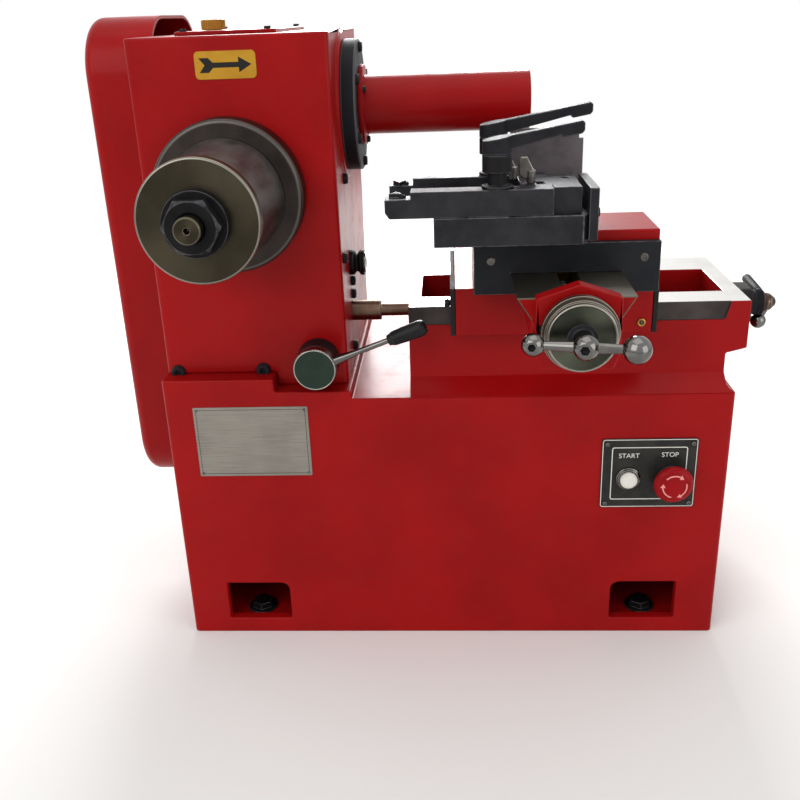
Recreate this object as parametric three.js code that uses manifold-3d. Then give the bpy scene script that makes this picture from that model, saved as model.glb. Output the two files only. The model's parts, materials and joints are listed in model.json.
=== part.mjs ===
// A bench brake lathe for drums and discs. Millimetres, +X to the right, +Y to the back, +Z up.
// Places are measured from the base's front left corner on the floor, and the last group moves the
// origin to the middle of the base's underside.
import * as THREE from 'three';
import { mergeVertices } from 'three/addons/utils/BufferGeometryUtils.js';
import Module from 'manifold-3d';

const wasm = await Module();
wasm.setup();

// Clearance between a moving or seated piece and the surface beside it
const gap = 0.3;
// How far a cutter runs past a face, and how deep two joined volumes run into each other
const overrun = 4;

// Driving sizes of the castings
const base = {
  length: 560, depth: 300, height: 275, wall: 12, floor: 12, edgeRound: 5,
  padLength: 112, padRise: 21.5, stepLength: 76, stepRise: 8,
};
const pocket = { endMargin: 41.5, width: 67.5, sill: 17.6, height: 44.8, round: 10 };
const footBolt = { cornerRadius: 11.5, headHeight: 7, washerRadius: 16, washerHeight: 2, shank: 6, inset: 32, offset: 4 };
const rearDoor = { sideMargin: 60, sill: 45, height: 170, lap: 12, thickness: 3, round: 14 };
const bed = {
  left: 246, length: 326, height: 86, front: 21, frontWay: 36, trough: 84, rearWay: 54,
  footRise: 15, footSpread: 21, troughFloor: 21, leftWall: 12, rightWall: 18,
  overhang: 19.5, overhangHeight: 47.6, overhangCove: 5, footCove: 7.5, footCoveRise: 6, stripHeight: 17.5, stripDepth: 0.8,
};
const headstock = { left: 1.5, width: 182.5, front: 21, depth: 249, height: 315.5, wall: 12, edgeRound: 6 };
const topCover = { width: 94, depth: 190, thickness: 3.5, lap: 10, round: 8 };
const fillerCap = { radius: 11.5, height: 10, neckRadius: 7, neckDepth: 12, fromCoverLeft: 22, fromFront: 79, knurls: 14, knurlDepth: 0.9 };

// Spindles, worm drive and gears
const discLine = { fromLeft: 84.4, drop: 137.4 };
const gearCentres = 66.9;
const drumLine = { fromFront: 99 };
const wormLine = { fromRear: 71 };
const discSpindle = {
  shaft: 20, journal: 17, nose: 15, end: 11.1, endReach: 166, noseReach: 142, shoulderReach: 26, centreHole: 2.7, centreDepth: 6,
};
const discCap = { radius: 69.5, thickness: 25, rimRound: 3, bore: 30 };
const cone = { reach: 27, length: 93, large: 53, small: 33, rim: 4 };
const facePlate = { radius: 51.5, thickness: 12, rimRound: 1.2 };
const clampWasher = { radius: 27.2, thickness: 10 };
const spindleNut = { cornerRadius: 24.5, faceRadius: 21.6, thickness: 13 };
const rearCap = { radius: 38, thickness: 8 };
const drumBoss = { radius: 70, thickness: 3 };
const drumCap = { radius: 62, thickness: 14.5, bore: 26, hubRadius: 38 };
const guardTube = { radius: 28, length: 161, wall: 3, flangeRadius: 38, flangeThickness: 4.5, endThickness: 3 };
const drumSpindle = { shaft: 18, journal: 13.5, nose: 12, noseLength: 120, tailJournal: 10, tailLength: 24 };
const wormWheel = { width: 24, outer: 50.4, root: 44, teeth: 20, tipShare: 0.4 };
const crossGear = { width: 20, outer: 33.1, root: 28, teeth: 12, tipShare: 0.4 };
const worm = { length: 46, outer: 16, root: 12, ridges: 4, shaft: 10, sides: 12 };
const innerWeb = { thickness: 12, radius: 24 };

// Belt drive
const cover = { width: 70, halfDepth: 94, overWorm: 89.5, underMotor: 60, cornerRound: 55, wall: 3, edgeRound: 12 };
const motor = { radius: 66, length: 150, shaft: 11, headroom: 7, fromWall: 16, ribs: 16, ribDepth: 3, endLength: 22, endRadius: 58 };
const motorMount = { width: 110, depth: 96, plate: 8, leg: 15, footWidth: 80, footHeight: 10 };
const driveBelt = { top: 12, depth: 7, fromWall: 36, grooveLip: 3 };
const motorPulley = { radius: 30, hub: 18 };
const drivenPulley = { radius: 60, hub: 24 };

// Feed
const leadscrew = { drop: 25, fromFront: 78, radius: 6.5, sleeveRadius: 10.5, sleeveLength: 30.5, seat: 10, relief: 1.2, reliefLength: 5 };
const spool = { rise: 51.5, radius: 13, length: 14.5, grooveRadius: 9.5, rimLength: 4, shaft: 5, seat: 9 };
const endBracket = { thickness: 20, halfHeight: 18, halfWidth: 19, round: 8 };
const endDial = { spacerRadius: 13, spacerLength: 6, radius: 13.5, length: 8 };
const endCrank = { hubRadius: 9.5, hubReach: 5, ballRadius: 8, armReach: 21, armRadius: 3.6, armLean: 17, boreRadius: 4 };
const endGrip = { radius: 4.2, tipRadius: 5, length: 62, climb: 6 };

// Saddle and cross slide
const saddle = {
  left: 291, length: 185, front: 2, depth: 193, thickness: 22.5, apronDrop: 23.5, edgeRound: 3,
  neckReach: 102, neckDrop: 34.5, neckFoot: 42,
};
const wiper = { thickness: 4.3, reach: 40 };
const dovetail = { baseWidth: 75, topWidth: 100, height: 19.5, offset: 8 };
const screwChannel = { halfWidth: 9, depth: 12.5, frontWall: 14, length: 240 };
const crossScrew = { drop: 3.5, journal: 6, crest: 6.6, threadStart: 24, threadLength: 172, tail: 8 };
const crossNut = { width: 16, depth: 25, fromFront: 33 };
const leadNut = { width: 30, depth: 30, drop: 16 };
const screwBracket = {
  halfWidth: 35, thickness: 15, peak: 37.7, shoulder: 26, waist: 21, foot: 35, footHalfWidth: 30,
  boltRadius: 4.2, boltFromSide: 5.9, boltSink: 3,
};
const crossDial = {
  collarRadius: 25, collarLength: 5, radius: 31.7, length: 19.5, chamfer: 0.8, faceRadius: 28.3, faceLength: 5.5,
  middleRadius: 29.9, middleLength: 6,
};
const ballHandle = {
  hubRadius: 7.5, middle: 10.6, small: 9.4, large: 11.4, smallReach: 41, largeReach: 38.5, reach: 20,
  armRoot: 4.6, armTip: 3.6, lean: 12, socketRadius: 3.2, socketDepth: 4,
};
const slide = { width: 166, front: -13, depth: 79, rise: 55.5, edgeRound: 2 };
const frontPlate = { thickness: 8, drop: 9 };

// Tool slide on top of the cross slide
const toolSlide = {
  left: 274, length: 129, front: -68, depth: 91, thickness: 25, cornerCut: 4, cornerCutDepth: 4,
};
const toolBar = {
  left: 233.5, length: 140.5, width: 20, height: 22, stepLength: 21.5, stepDrop: 6, noseCut: 8, travel: 8,
  rearFront: 3,
};
const middleBlock = { left: 348, tee: 26, length: 50, teeFront: 12, teeRear: 5.3, slotLength: 6.5, slotWidth: 14, slotFromLeft: 14, holeRadius: 4, holeFromRight: 9, holeFromRear: 14 };
const endPlate = { thickness: 12, height: 22, front: -43, depth: 52, capRadius: 3.5, capReach: 2 };
const tip = { length: 12, width: 9, thickness: 3.5, reach: 3 };
const clamp = {
  x: 327.5, shank: 6, washerRadius: 13, washerHeight: 2.4, lowerRadius: 8, lowerHeight: 11, upperRadius: 12.5, upperHeight: 14,
  spigot: 5, headHeight: 13, rearRise: 5,
};
const clampArm = { frontReach: 70.5, rearReach: 86.5, width: 9, slope: 0.17, tipHeight: 11, notchDepth: 4, notchLength: 11, tipRound: 4 };
const lockScrew = {
  radius: 4.6, collar: 5.4, tip: 3.7, height: 11, collarTop: 7.7, armRadius: 3, armLength: 15, armLean: 35,
  frontX: 357, frontY: -35, rearX: 343, rearY: -12,
};
const chipGuard = { left: 345, length: 68, thickness: 3, rearMargin: 6, height: 82, foot: 14, stepLength: 4, stepDrop: 10 };

// Front controls
const shiftLever = {
  fromRight: 28, rise: 14.5, radius: 20.7, length: 35.5, rim: 2, shaft: 8, seat: 10, rodRadius: 2.75, rodReach: 76, gripRadius: 8,
  gripLength: 39, gripBack: 5, gripNeck: 5, gripWaist: 6.8, gripTip: 4.8, lean: 20.4, rodFromFace: 7,
};
const panel = { fromRight: 31.5, width: 94, fromTop: 46.4, height: 76, thickness: 1.6, round: 3 };
const startButton = { fromLeft: 27, rise: 33, bezelRadius: 12, bezelReach: 4, radius: 8.5, reach: 7, travel: 3, stem: 5, stemReach: 7, bezelBore: 9 };
const stopButton = {
  fromLeft: 69, rise: 33, collarRadius: 14, collarReach: 3.5, stem: 7, stemReach: 7, reach: 21, headRadius: 19.5, headHeight: 13,
  crownRadius: 8.8, brow: 14.6, browDepth: 1.6, rimFront: 5.2, rimBack: 7.8, neck: 11.7,
};
const plateLabel = { left: 28.5, width: 115.4, fromTop: 7, height: 75.9, thickness: 0.8 };
const arrowLabel = { left: 64, width: 55, fromTop: 12.8, height: 23.7, thickness: 0.8, round: 4 };

// Places that follow from the sizes
const deck = base.height;
const padTop = base.height + base.padRise;
const stepTop = base.height + base.stepRise;
const stepEnd = base.padLength + base.stepLength;
const headRight = headstock.left + headstock.width;
const headRear = headstock.front + headstock.depth;
const headTop = padTop + headstock.height;
const discX = headstock.left + discLine.fromLeft;
const discZ = headTop - discLine.drop;
const upperZ = discZ + gearCentres;
const drumY = headstock.front + drumLine.fromFront;
const wormY = headRear - wormLine.fromRear;
const motorZ = deck - base.wall - motor.headroom - motor.radius;
const bedRight = bed.left + bed.length;
const wayTop = deck + bed.height;
const troughFront = bed.front + bed.frontWay;
const troughRear = troughFront + bed.trough;
const bedRear = troughRear + bed.rearWay;
const feedY = bed.front + leadscrew.fromFront;
const feedZ = wayTop - leadscrew.drop;
const saddleRight = saddle.left + saddle.length;
const saddleRear = saddle.front + saddle.depth;
const saddleTop = wayTop + saddle.thickness;
const neckFront = saddle.front - saddle.neckReach;
const crossX = saddle.left + saddle.length / 2 + dovetail.offset;
const crossZ = saddleTop - crossScrew.drop;
const dovetailTop = saddleTop + dovetail.height;
const slideTop = saddleTop + slide.rise;
const slideRear = slide.front + slide.depth;
const toolTop = slideTop + toolSlide.thickness;
const toolRight = toolSlide.left + toolSlide.length;
const barTop = toolTop + gap + toolBar.height;
const frontBarRear = toolSlide.front + toolBar.width;
const panelLeft = base.length - panel.fromRight - panel.width;
const panelBottom = deck - panel.fromTop - panel.height;
const shiftX = headRight - shiftLever.fromRight;
const shiftZ = padTop + shiftLever.rise;
const startX = panelLeft + startButton.fromLeft;
const startZ = panelBottom + startButton.rise;
const stopX = panelLeft + stopButton.fromLeft;
const stopZ = panelBottom + stopButton.rise;
const dialFace = neckFront - screwBracket.thickness - crossDial.collarLength - crossDial.length;

// Colours as photographed
const finish = (color, roughness, metalness) => new THREE.MeshStandardMaterial({ color, roughness, metalness });
const loopSegments = 8;
const handleSides = 12;
const ballSides = 10;
const pulleySides = 20;
const cornerSegments = 4;
const looks = {
  redPaint: finish(0x96141a, 0.4, 0),
  blackSteel: finish(0x2b2b30, 0.5, 0.7),
  gunmetal: finish(0x3b3a3e, 0.35, 0.9),
  plateSteel: finish(0x56543f, 0.35, 0.9),
  brightSteel: finish(0x9a978c, 0.3, 1),
  brownSteel: finish(0x6d5547, 0.4, 0.9),
  chrome: finish(0xd5d6d2, 0.12, 1),
  castIron: finish(0x43403d, 0.6, 0.8),
  greyPlate: finish(0x5d585a, 0.5, 0.7),
  brass: finish(0xb08a3e, 0.35, 1),
  yellowPlastic: finish(0xc28a1d, 0.5, 0),
  blackPlastic: finish(0x17171a, 0.5, 0),
  rubber: finish(0x1a1a1b, 0.8, 0),
  aluminium: finish(0xa59f95, 0.4, 0.9),
  redPlastic: finish(0xb8262a, 0.35, 0),
  whitePlastic: finish(0xe4e2da, 0.4, 0),
  hubGreen: finish(0x2b342a, 0.35, 0.6),
};

// Closed three.js geometry to solid, and solid to named mesh
function solidFrom(geometry) {
  geometry.deleteAttribute('normal');
  geometry.deleteAttribute('uv');
  const merged = mergeVertices(geometry);
  const corners = [];
  for (let face = 0; face < merged.index.count; face += 3) {
    const [a, b, c] = [0, 1, 2].map((corner) => merged.index.getX(face + corner));
    if (a !== b && b !== c && c !== a) corners.push(a, b, c);
  }
  const vertProperties = merged.attributes.position.array;
  return new wasm.Manifold(new wasm.Mesh({ numProp: 3, vertProperties, triVerts: new Uint32Array(corners) }));
}

function piece(name, look, solid) {
  const { vertProperties, triVerts } = solid.getMesh();
  const geometry = new THREE.BufferGeometry();
  geometry.setAttribute('position', new THREE.BufferAttribute(vertProperties, 3));
  geometry.setIndex(new THREE.BufferAttribute(triVerts, 1));
  geometry.computeVertexNormals();
  const mesh = new THREE.Mesh(geometry, looks[look]);
  mesh.name = name;
  return mesh;
}

function groupAt(position, meshes) {
  const group = new THREE.Group();
  group.position.set(...position);
  group.add(...meshes);
  return group;
}

const join = (...solids) => solids.reduce((whole, next) => whole.add(next));
const cut = (solid, ...cutters) => cutters.reduce((rest, cutter) => rest.subtract(cutter), solid);
const shared = (...solids) => solids.reduce((common, next) => common.intersect(next));

// Frames that lay a turned profile's axis, or a slab's thickness, along X, Y or Z
const unit = { x: new THREE.Vector3(1, 0, 0), y: new THREE.Vector3(0, 1, 0), z: new THREE.Vector3(0, 0, 1) };
const minus = (vector) => vector.clone().negate();
const turnFrame = {
  x: new THREE.Matrix4().makeBasis(unit.y, unit.x, minus(unit.z)),
  y: new THREE.Matrix4(),
  z: new THREE.Matrix4().makeBasis(unit.x, unit.z, minus(unit.y)),
};
const slabFrame = {
  x: new THREE.Matrix4().makeBasis(unit.y, unit.z, unit.x),
  y: new THREE.Matrix4().makeBasis(unit.x, unit.z, minus(unit.y)),
  z: new THREE.Matrix4(),
};
const offAxis = {
  x: (first, second) => [0, first, second],
  y: (first, second) => [first, 0, second],
  z: (first, second) => [first, second, 0],
};

// Enough sides that a facet's middle stays well within the clearance of the true circle
const sagShare = 0.75;
const fewestSides = 12;
const mostSides = 24;
function sidesFor(radius) {
  const half = Math.acos(Math.max(1 - (sagShare * gap) / radius, 0));
  return Math.min(mostSides, Math.max(fewestSides, 4 * Math.ceil(Math.PI / half / 4)));
}

// A solid of revolution: the profile lists [along, radius] in the axis's direction
function turned(axis, profile, centre, sides) {
  const points = profile.map(([along, radius]) => new THREE.Vector2(radius, along));
  points.unshift(new THREE.Vector2(0, profile[0][0]));
  points.push(new THREE.Vector2(0, profile.at(-1)[0]));
  const widest = Math.max(...profile.map(([, radius]) => radius));
  const geometry = new THREE.LatheGeometry(points, sides ?? sidesFor(widest));
  geometry.applyMatrix4(turnFrame[axis]).translate(...offAxis[axis](...centre));
  return solidFrom(geometry);
}

const rod = (axis, [from, to], radius, centre, sides) => turned(axis, [[from, radius], [to, radius]], centre, sides);

function ball(radius, [x, y, z]) {
  const geometry = new THREE.SphereGeometry(radius, ballSides, ballSides / 2);
  return solidFrom(geometry.translate(x, y, z));
}

function block([left, right], [front, rear], [bottom, top]) {
  const geometry = new THREE.BoxGeometry(right - left, rear - front, top - bottom);
  return solidFrom(geometry.translate((left + right) / 2, (front + rear) / 2, (bottom + top) / 2));
}

// An outline in the two other axes, carried from one place to another along the axis
function slab(axis, outline, [from, to]) {
  const shape = outline instanceof THREE.Shape ? outline : new THREE.Shape(outline.map(([u, v]) => new THREE.Vector2(u, v)));
  const geometry = new THREE.ExtrudeGeometry(shape, { depth: to - from, bevelEnabled: false, curveSegments: cornerSegments });
  const start = axis === 'y' ? to : from;
  geometry.applyMatrix4(slabFrame[axis]).translate(...unit[axis].clone().multiplyScalar(start).toArray());
  return solidFrom(geometry);
}

// A closed outline whose corners are rounded alike
function rounded(corners, radius) {
  const shape = new THREE.Shape();
  corners.forEach((corner, index) => {
    const here = new THREE.Vector2(...corner);
    const before = new THREE.Vector2(...corners.at(index - 1));
    const after = new THREE.Vector2(...corners[(index + 1) % corners.length]);
    const enter = here.clone().add(before.sub(here).setLength(radius));
    const leave = here.clone().add(after.sub(here).setLength(radius));
    if (index === 0) shape.moveTo(enter.x, enter.y);
    else shape.lineTo(enter.x, enter.y);
    shape.quadraticCurveTo(here.x, here.y, leave.x, leave.y);
  });
  shape.closePath();
  return shape;
}

const rectangle = ([left, right], [low, high]) => [[left, low], [right, low], [right, high], [left, high]];
const roundedRectangle = (across, up, radius) => rounded(rectangle(across, up), radius);

// A rectangle with round corners as one shape, for a shell with a round edge
function roundedShape([left, right], [low, high], radius) {
  const shape = new THREE.Shape();
  const centres = [[right - radius, high - radius], [left + radius, high - radius], [left + radius, low + radius], [right - radius, low + radius]];
  centres.forEach(([across, up], quarter) => {
    shape.absarc(across, up, radius, (quarter * Math.PI) / 2, ((quarter + 1) * Math.PI) / 2, false);
  });
  shape.closePath();
  return shape;
}

// A stadium with its round ends up and down, for the belt and slots
function stadium([across, low], high, radius) {
  const shape = new THREE.Shape();
  shape.absarc(across, high, radius, 0, Math.PI, false);
  shape.absarc(across, low, radius, Math.PI, 2 * Math.PI, false);
  shape.closePath();
  return shape;
}

// Tooth outline round the axis: each tooth has a flat tip and a flat root
function toothedOutline({ outer, root, teeth, tipShare }, [across, up]) {
  const step = (2 * Math.PI) / teeth;
  const corners = [[-0.5 + tipShare / 4, root], [-tipShare / 2, outer], [tipShare / 2, outer], [0.5 - tipShare / 4, root]];
  return Array.from({ length: teeth }).flatMap((_, tooth) => corners.map(([share, radius]) => {
    const angle = (tooth + share) * step;
    return [across + radius * Math.cos(angle), up + radius * Math.sin(angle)];
  }));
}

// The worm's crests as evenly spaced ridges along its core
function ridged(start, length, crest, core, pitch) {
  const turns = Math.floor(length / pitch);
  return Array.from({ length: turns }).flatMap((_, turn) => {
    const along = start + turn * pitch;
    return [[along, core], [along + pitch / 4, crest], [along + pitch / 2, crest], [along + (3 * pitch) / 4, core]];
  });
}

// Base: a box open to the rear behind its cover, with a raised pad for the headstock and two foot pockets
function baseCasting() {
  const front = slab('y', [
    [0, 0], [base.length, 0], [base.length, deck], [stepEnd, deck], [stepEnd, stepTop],
    [base.padLength, stepTop], [base.padLength, padTop], [0, padTop],
  ], [0, base.depth]);
  const plan = slab('z', roundedRectangle([0, base.length], [0, base.depth], base.edgeRound), [0, padTop]);
  const inside = block(
    [base.wall, base.length - base.wall], [base.wall, base.depth - base.wall], [base.floor, deck - base.wall],
  );
  const doorway = slab('y', roundedRectangle(
    [rearDoor.sideMargin, base.length - rearDoor.sideMargin], [rearDoor.sill, rearDoor.sill + rearDoor.height], rearDoor.round,
  ), [base.depth - base.wall - overrun, base.depth + overrun]);
  const shaftHole = rod('x', [-overrun, base.wall + overrun], motor.shaft * 2, [wormY, motorZ]);
  const pockets = [1, -1].map((side) => pocketCutter(side));
  const bolts = footPlaces().map(([x, y]) => rod('z', [-overrun, base.floor + overrun], footBolt.shank + gap, [x, y]));
  const buttons = [[startX, startZ, startButton.stem], [stopX, stopZ, stopButton.stem]]
    .map(([x, z, stem]) => rod('y', [-overrun, base.wall + overrun], stem + gap, [x, z]));
  return cut(shared(front, plan), inside, doorway, shaftHole, ...pockets, ...bolts, ...buttons);
}

// The foot pocket of one side: its upper outer corner is round
function pocketCutter(side) {
  const outer = side > 0 ? base.length - pocket.endMargin : pocket.endMargin;
  const inner = outer - side * pocket.width;
  const top = pocket.sill + pocket.height;
  const shape = new THREE.Shape();
  shape.moveTo(outer, pocket.sill);
  shape.lineTo(outer, top);
  shape.lineTo(inner + side * pocket.round, top);
  shape.quadraticCurveTo(inner, top, inner, top - pocket.round);
  shape.lineTo(inner, pocket.sill);
  shape.closePath();
  return slab('y', shape, [-overrun, base.wall + overrun]);
}

const footPlaces = () => [1, -1].flatMap((side) => {
  const pocketCentre = pocket.endMargin + pocket.width / 2;
  const x = side > 0 ? base.length - pocketCentre + footBolt.offset : pocketCentre - footBolt.offset;
  return [[x, footBolt.inset], [x, base.depth - footBolt.inset]];
});
const frontFeet = () => footPlaces().filter(([, y]) => y < base.depth / 2);

function footBolts() {
  const names = ['foot_bolt_right', 'foot_bolt_left'];
  const washerTop = base.floor + footBolt.washerHeight;
  const solid = join(
    rod('z', [gap, washerTop], footBolt.shank, [0, 0]),
    rod('z', [base.floor, washerTop], footBolt.washerRadius, [0, 0]),
    rod('z', [washerTop, washerTop + footBolt.headHeight], footBolt.cornerRadius, [0, 0], 6),
  );
  return frontFeet().map(([x, y], index) => groupAt([x, y, 0], [piece(names[index], 'blackSteel', solid)]));
}

function rearCover() {
  const across = [rearDoor.sideMargin - rearDoor.lap, base.length - rearDoor.sideMargin + rearDoor.lap];
  const up = [rearDoor.sill - rearDoor.lap, rearDoor.sill + rearDoor.height + rearDoor.lap];
  return slab('y', roundedRectangle(across, up, rearDoor.round), [base.depth, base.depth + rearDoor.thickness]);
}

// Bed: two flat ways beside a trough, on a flared foot, with an end block that overhangs to the right
function bedCasting() {
  const footTop = deck + bed.footRise;
  const section = slab('x', [
    [bed.front - bed.footSpread, deck], [bedRear + bed.footSpread, deck], [bedRear, footTop], [bedRear, wayTop],
    [bed.front, wayTop], [bed.front, footTop],
  ], [bed.left, bedRight]);
  const neck = bedRight - bed.overhang;
  const blockFoot = wayTop - bed.overhangHeight;
  const side = slab('y', [
    [bed.left, deck], [neck + bed.footCove, deck], [neck + bed.footCove / 4, deck + bed.footCoveRise / 2],
    [neck, deck + bed.footCoveRise], [neck, blockFoot - bed.overhangCove], [bedRight, blockFoot], [bedRight, wayTop],
    [bed.left, wayTop],
  ], [bed.front - bed.footSpread - overrun, bedRear + bed.footSpread + overrun]);
  const trough = slab('x', roundedRectangle(
    [troughFront, troughRear], [deck + bed.troughFloor, wayTop + 2 * overrun], overrun,
  ), [bed.left + bed.leftWall, bedRight - bed.rightWall]);
  const strip = block(
    [bed.left - overrun, bedRight - bed.overhang], [bed.front - overrun, bed.front + bed.stripDepth],
    [wayTop - bed.stripHeight, wayTop + overrun],
  );
  const screwBore = rod('x', [bed.left - overrun, bedRight + overrun], leadscrew.radius + gap, [feedY, feedZ]);
  return cut(shared(section, side), trough, strip, screwBore);
}

// Headstock: a shell on the pad and its step, with bosses round the spindle bores and a hole under its top cover
function headstockHousing() {
  const outside = slab('y', [
    [headstock.left, padTop], [base.padLength + gap, padTop], [base.padLength + gap, stepTop], [headRight, stepTop],
    [headRight, headTop], [headstock.left, headTop],
  ], [headstock.front, headRear]);
  const plan = slab('z', roundedRectangle(
    [headstock.left, headRight], [headstock.front, headRear], headstock.edgeRound,
  ), [stepTop, headTop]);
  const floor = padTop + headstock.wall;
  const inside = block(
    [headstock.left + headstock.wall, headRight - headstock.wall], [headstock.front + headstock.wall, headRear - headstock.wall],
    [floor, headTop - headstock.wall],
  );
  const hatch = block(hatchAcross(), hatchAlong(), [headTop - headstock.wall - overrun, headTop + overrun]);
  const web = block(
    [headstock.left + headstock.wall, headstock.left + headstock.wall + innerWeb.thickness],
    [drumY - innerWeb.radius, drumY + innerWeb.radius], [upperZ - innerWeb.radius, headTop - headstock.wall / 2],
  );
  const boss = rod('x', [headRight - overrun, headRight + drumBoss.thickness], drumBoss.radius, [drumY, upperZ]);
  const bores = [
    rod('y', [headstock.front - overrun, headstock.front + headstock.wall + overrun], discSpindle.shaft + gap, [discX, discZ]),
    rod('y', [headRear - headstock.wall - overrun, headRear + gap], discSpindle.journal + gap, [discX, discZ]),
    rod('x', [headRight - headstock.wall - overrun, headRight + drumBoss.thickness + overrun], drumSpindle.journal + gap, [drumY, upperZ]),
    rod('x', [headstock.left + headstock.wall / 2, headstock.left + headstock.wall + innerWeb.thickness + overrun],
      drumSpindle.tailJournal + gap, [drumY, upperZ]),
    rod('x', [headstock.left - overrun, headstock.left + headstock.wall + overrun], worm.shaft + gap, [wormY, upperZ]),
    rod('x', [headRight - headstock.wall - overrun, headRight - headstock.wall / 2], worm.shaft + gap, [wormY, upperZ]),
    rod('x', [headRight - leadscrew.seat, headRight + overrun], leadscrew.radius + gap, [feedY, feedZ]),
    rod('x', [headRight - spool.seat, headRight + overrun], spool.shaft + gap, [feedY, feedZ + spool.rise]),
    rod('y', [headstock.front - overrun, headstock.front + shiftLever.seat], shiftLever.shaft + gap, [shiftX, shiftZ]),
  ];
  return cut(join(cut(shared(outside, plan), inside, hatch), web, boss, rearBearingCap()), ...bores);
}

const hatchAcross = () => [discX - topCover.width / 2 + topCover.lap, discX + topCover.width / 2 - topCover.lap];
const coverFront = headstock.front + (headstock.depth - topCover.depth) / 2;
const hatchAlong = () => [coverFront + topCover.lap, coverFront + topCover.depth - topCover.lap];
const capX = discX - topCover.width / 2 + fillerCap.fromCoverLeft + topCover.lap / 2;
const capY = headstock.front + fillerCap.fromFront;

function headstockTopCover() {
  const across = [discX - topCover.width / 2, discX + topCover.width / 2];
  const plate = slab('z', roundedRectangle(across, [coverFront, coverFront + topCover.depth], topCover.round),
    [headTop, headTop + topCover.thickness]);
  return cut(plate, rod('z', [headTop - overrun, headTop + topCover.thickness + overrun], fillerCap.neckRadius + gap, [capX, capY]));
}

// Filler cap: a knurled head on a plug that screws into the top cover
function fillerCapSolid() {
  const head = slab('z', toothedOutline({
    outer: fillerCap.radius, root: fillerCap.radius - fillerCap.knurlDepth, teeth: fillerCap.knurls, tipShare: 0.5,
  }, [0, 0]), [gap, fillerCap.height]);
  return join(head, rod('z', [-fillerCap.neckDepth, overrun], fillerCap.neckRadius, [0, 0]));
}

// Disc spindle with its worm wheel and gear: from its rear journal to the centre-drilled end in front of the nut
function discSpindleSolid() {
  const y = (reach) => headstock.front - reach;
  const wheelSeat = headRear - headstock.wall;
  const shaft = turned('y', [
    [y(discSpindle.endReach), discSpindle.end - discSpindle.centreHole / 3],
    [y(discSpindle.endReach) + discSpindle.centreHole / 3, discSpindle.end],
    [y(discSpindle.noseReach), discSpindle.end], [y(discSpindle.noseReach), discSpindle.nose],
    [y(discSpindle.shoulderReach), discSpindle.nose], [y(discSpindle.shoulderReach), discSpindle.shaft],
    [wheelSeat - gap, discSpindle.shaft], [wheelSeat - gap, discSpindle.journal], [headRear, discSpindle.journal],
  ], [discX, discZ]);
  const centre = turned('y', [
    [y(discSpindle.endReach) - overrun, discSpindle.centreHole], [y(discSpindle.endReach), discSpindle.centreHole],
    [y(discSpindle.endReach) + discSpindle.centreDepth, discSpindle.centreHole / 4],
  ], [discX, discZ]);
  return cut(join(shaft, gearOnDisc(wormWheel, wormY), gearOnDisc(crossGear, drumY)), centre);
}

// A ring along Y on the disc spindle, from its rear reach forward
function discRing(profile, bore) {
  const reversed = profile.map(([reach, radius]) => [headstock.front - reach, radius]).reverse();
  const [rear] = reversed.at(-1);
  const [front] = reversed[0];
  return cut(turned('y', reversed, [discX, discZ]), rod('y', [front - overrun, rear + overrun], bore, [discX, discZ]));
}

const coneEnd = cone.reach + cone.length;
const plateFace = coneEnd + facePlate.thickness;
const washerFace = plateFace + clampWasher.thickness;

function discAdaptors() {
  const cap = discRing([
    [0, discCap.radius], [discCap.thickness - discCap.rimRound, discCap.radius],
    [discCap.thickness, discCap.radius - discCap.rimRound],
  ], discSpindle.shaft + gap);
  const bell = discRing([
    [cone.reach, cone.large - cone.rim / 2], [cone.reach + cone.rim / 2, cone.large], [cone.reach + cone.rim, cone.large],
    [coneEnd - cone.rim, cone.small], [coneEnd, cone.small],
  ], discSpindle.nose + gap);
  const plate = discRing([
    [coneEnd, facePlate.radius - facePlate.rimRound], [coneEnd + facePlate.rimRound, facePlate.radius],
    [plateFace - facePlate.rimRound, facePlate.radius], [plateFace, facePlate.radius - facePlate.rimRound],
  ], discSpindle.nose + gap);
  const washer = discRing([[plateFace, clampWasher.radius], [washerFace - gap, clampWasher.radius]], discSpindle.nose + gap);
  const nutY = [headstock.front - washerFace - spindleNut.thickness, headstock.front - washerFace];
  const nut = cut(
    shared(
      rod('y', nutY, spindleNut.cornerRadius, [discX, discZ], 6),
      turned('y', [
        [nutY[0], spindleNut.faceRadius], [nutY[0] + spindleNut.thickness / 4, spindleNut.cornerRadius],
        [nutY[1], spindleNut.cornerRadius],
      ], [discX, discZ]),
    ),
    rod('y', [nutY[0] - overrun, nutY[1] + overrun], discSpindle.end + gap, [discX, discZ]),
  );
  return [
    piece('disc_bearing_cap', 'gunmetal', cap),
    piece('cone_adaptor', 'gunmetal', bell),
    piece('face_plate', 'plateSteel', plate),
    piece('clamp_washer', 'blackSteel', washer),
    piece('spindle_nut', 'blackSteel', nut),
  ];
}

const rearBearingCap = () => turned('y', [
  [headRear - overrun, rearCap.radius], [headRear, rearCap.radius], [headRear + rearCap.thickness / 2, rearCap.radius],
  [headRear + rearCap.thickness, rearCap.radius - rearCap.thickness / 2],
], [discX, discZ]);

// Worm, wheel and the crossed gears that join the two spindles
const gearOnDisc = (gear, y) => slab('y', toothedOutline(gear, [discX, discZ]), [y - gear.width / 2, y + gear.width / 2]);
const drumGear = () => slab('x', toothedOutline(crossGear, [drumY, upperZ]), [discX - crossGear.width / 2, discX + crossGear.width / 2]);

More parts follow.
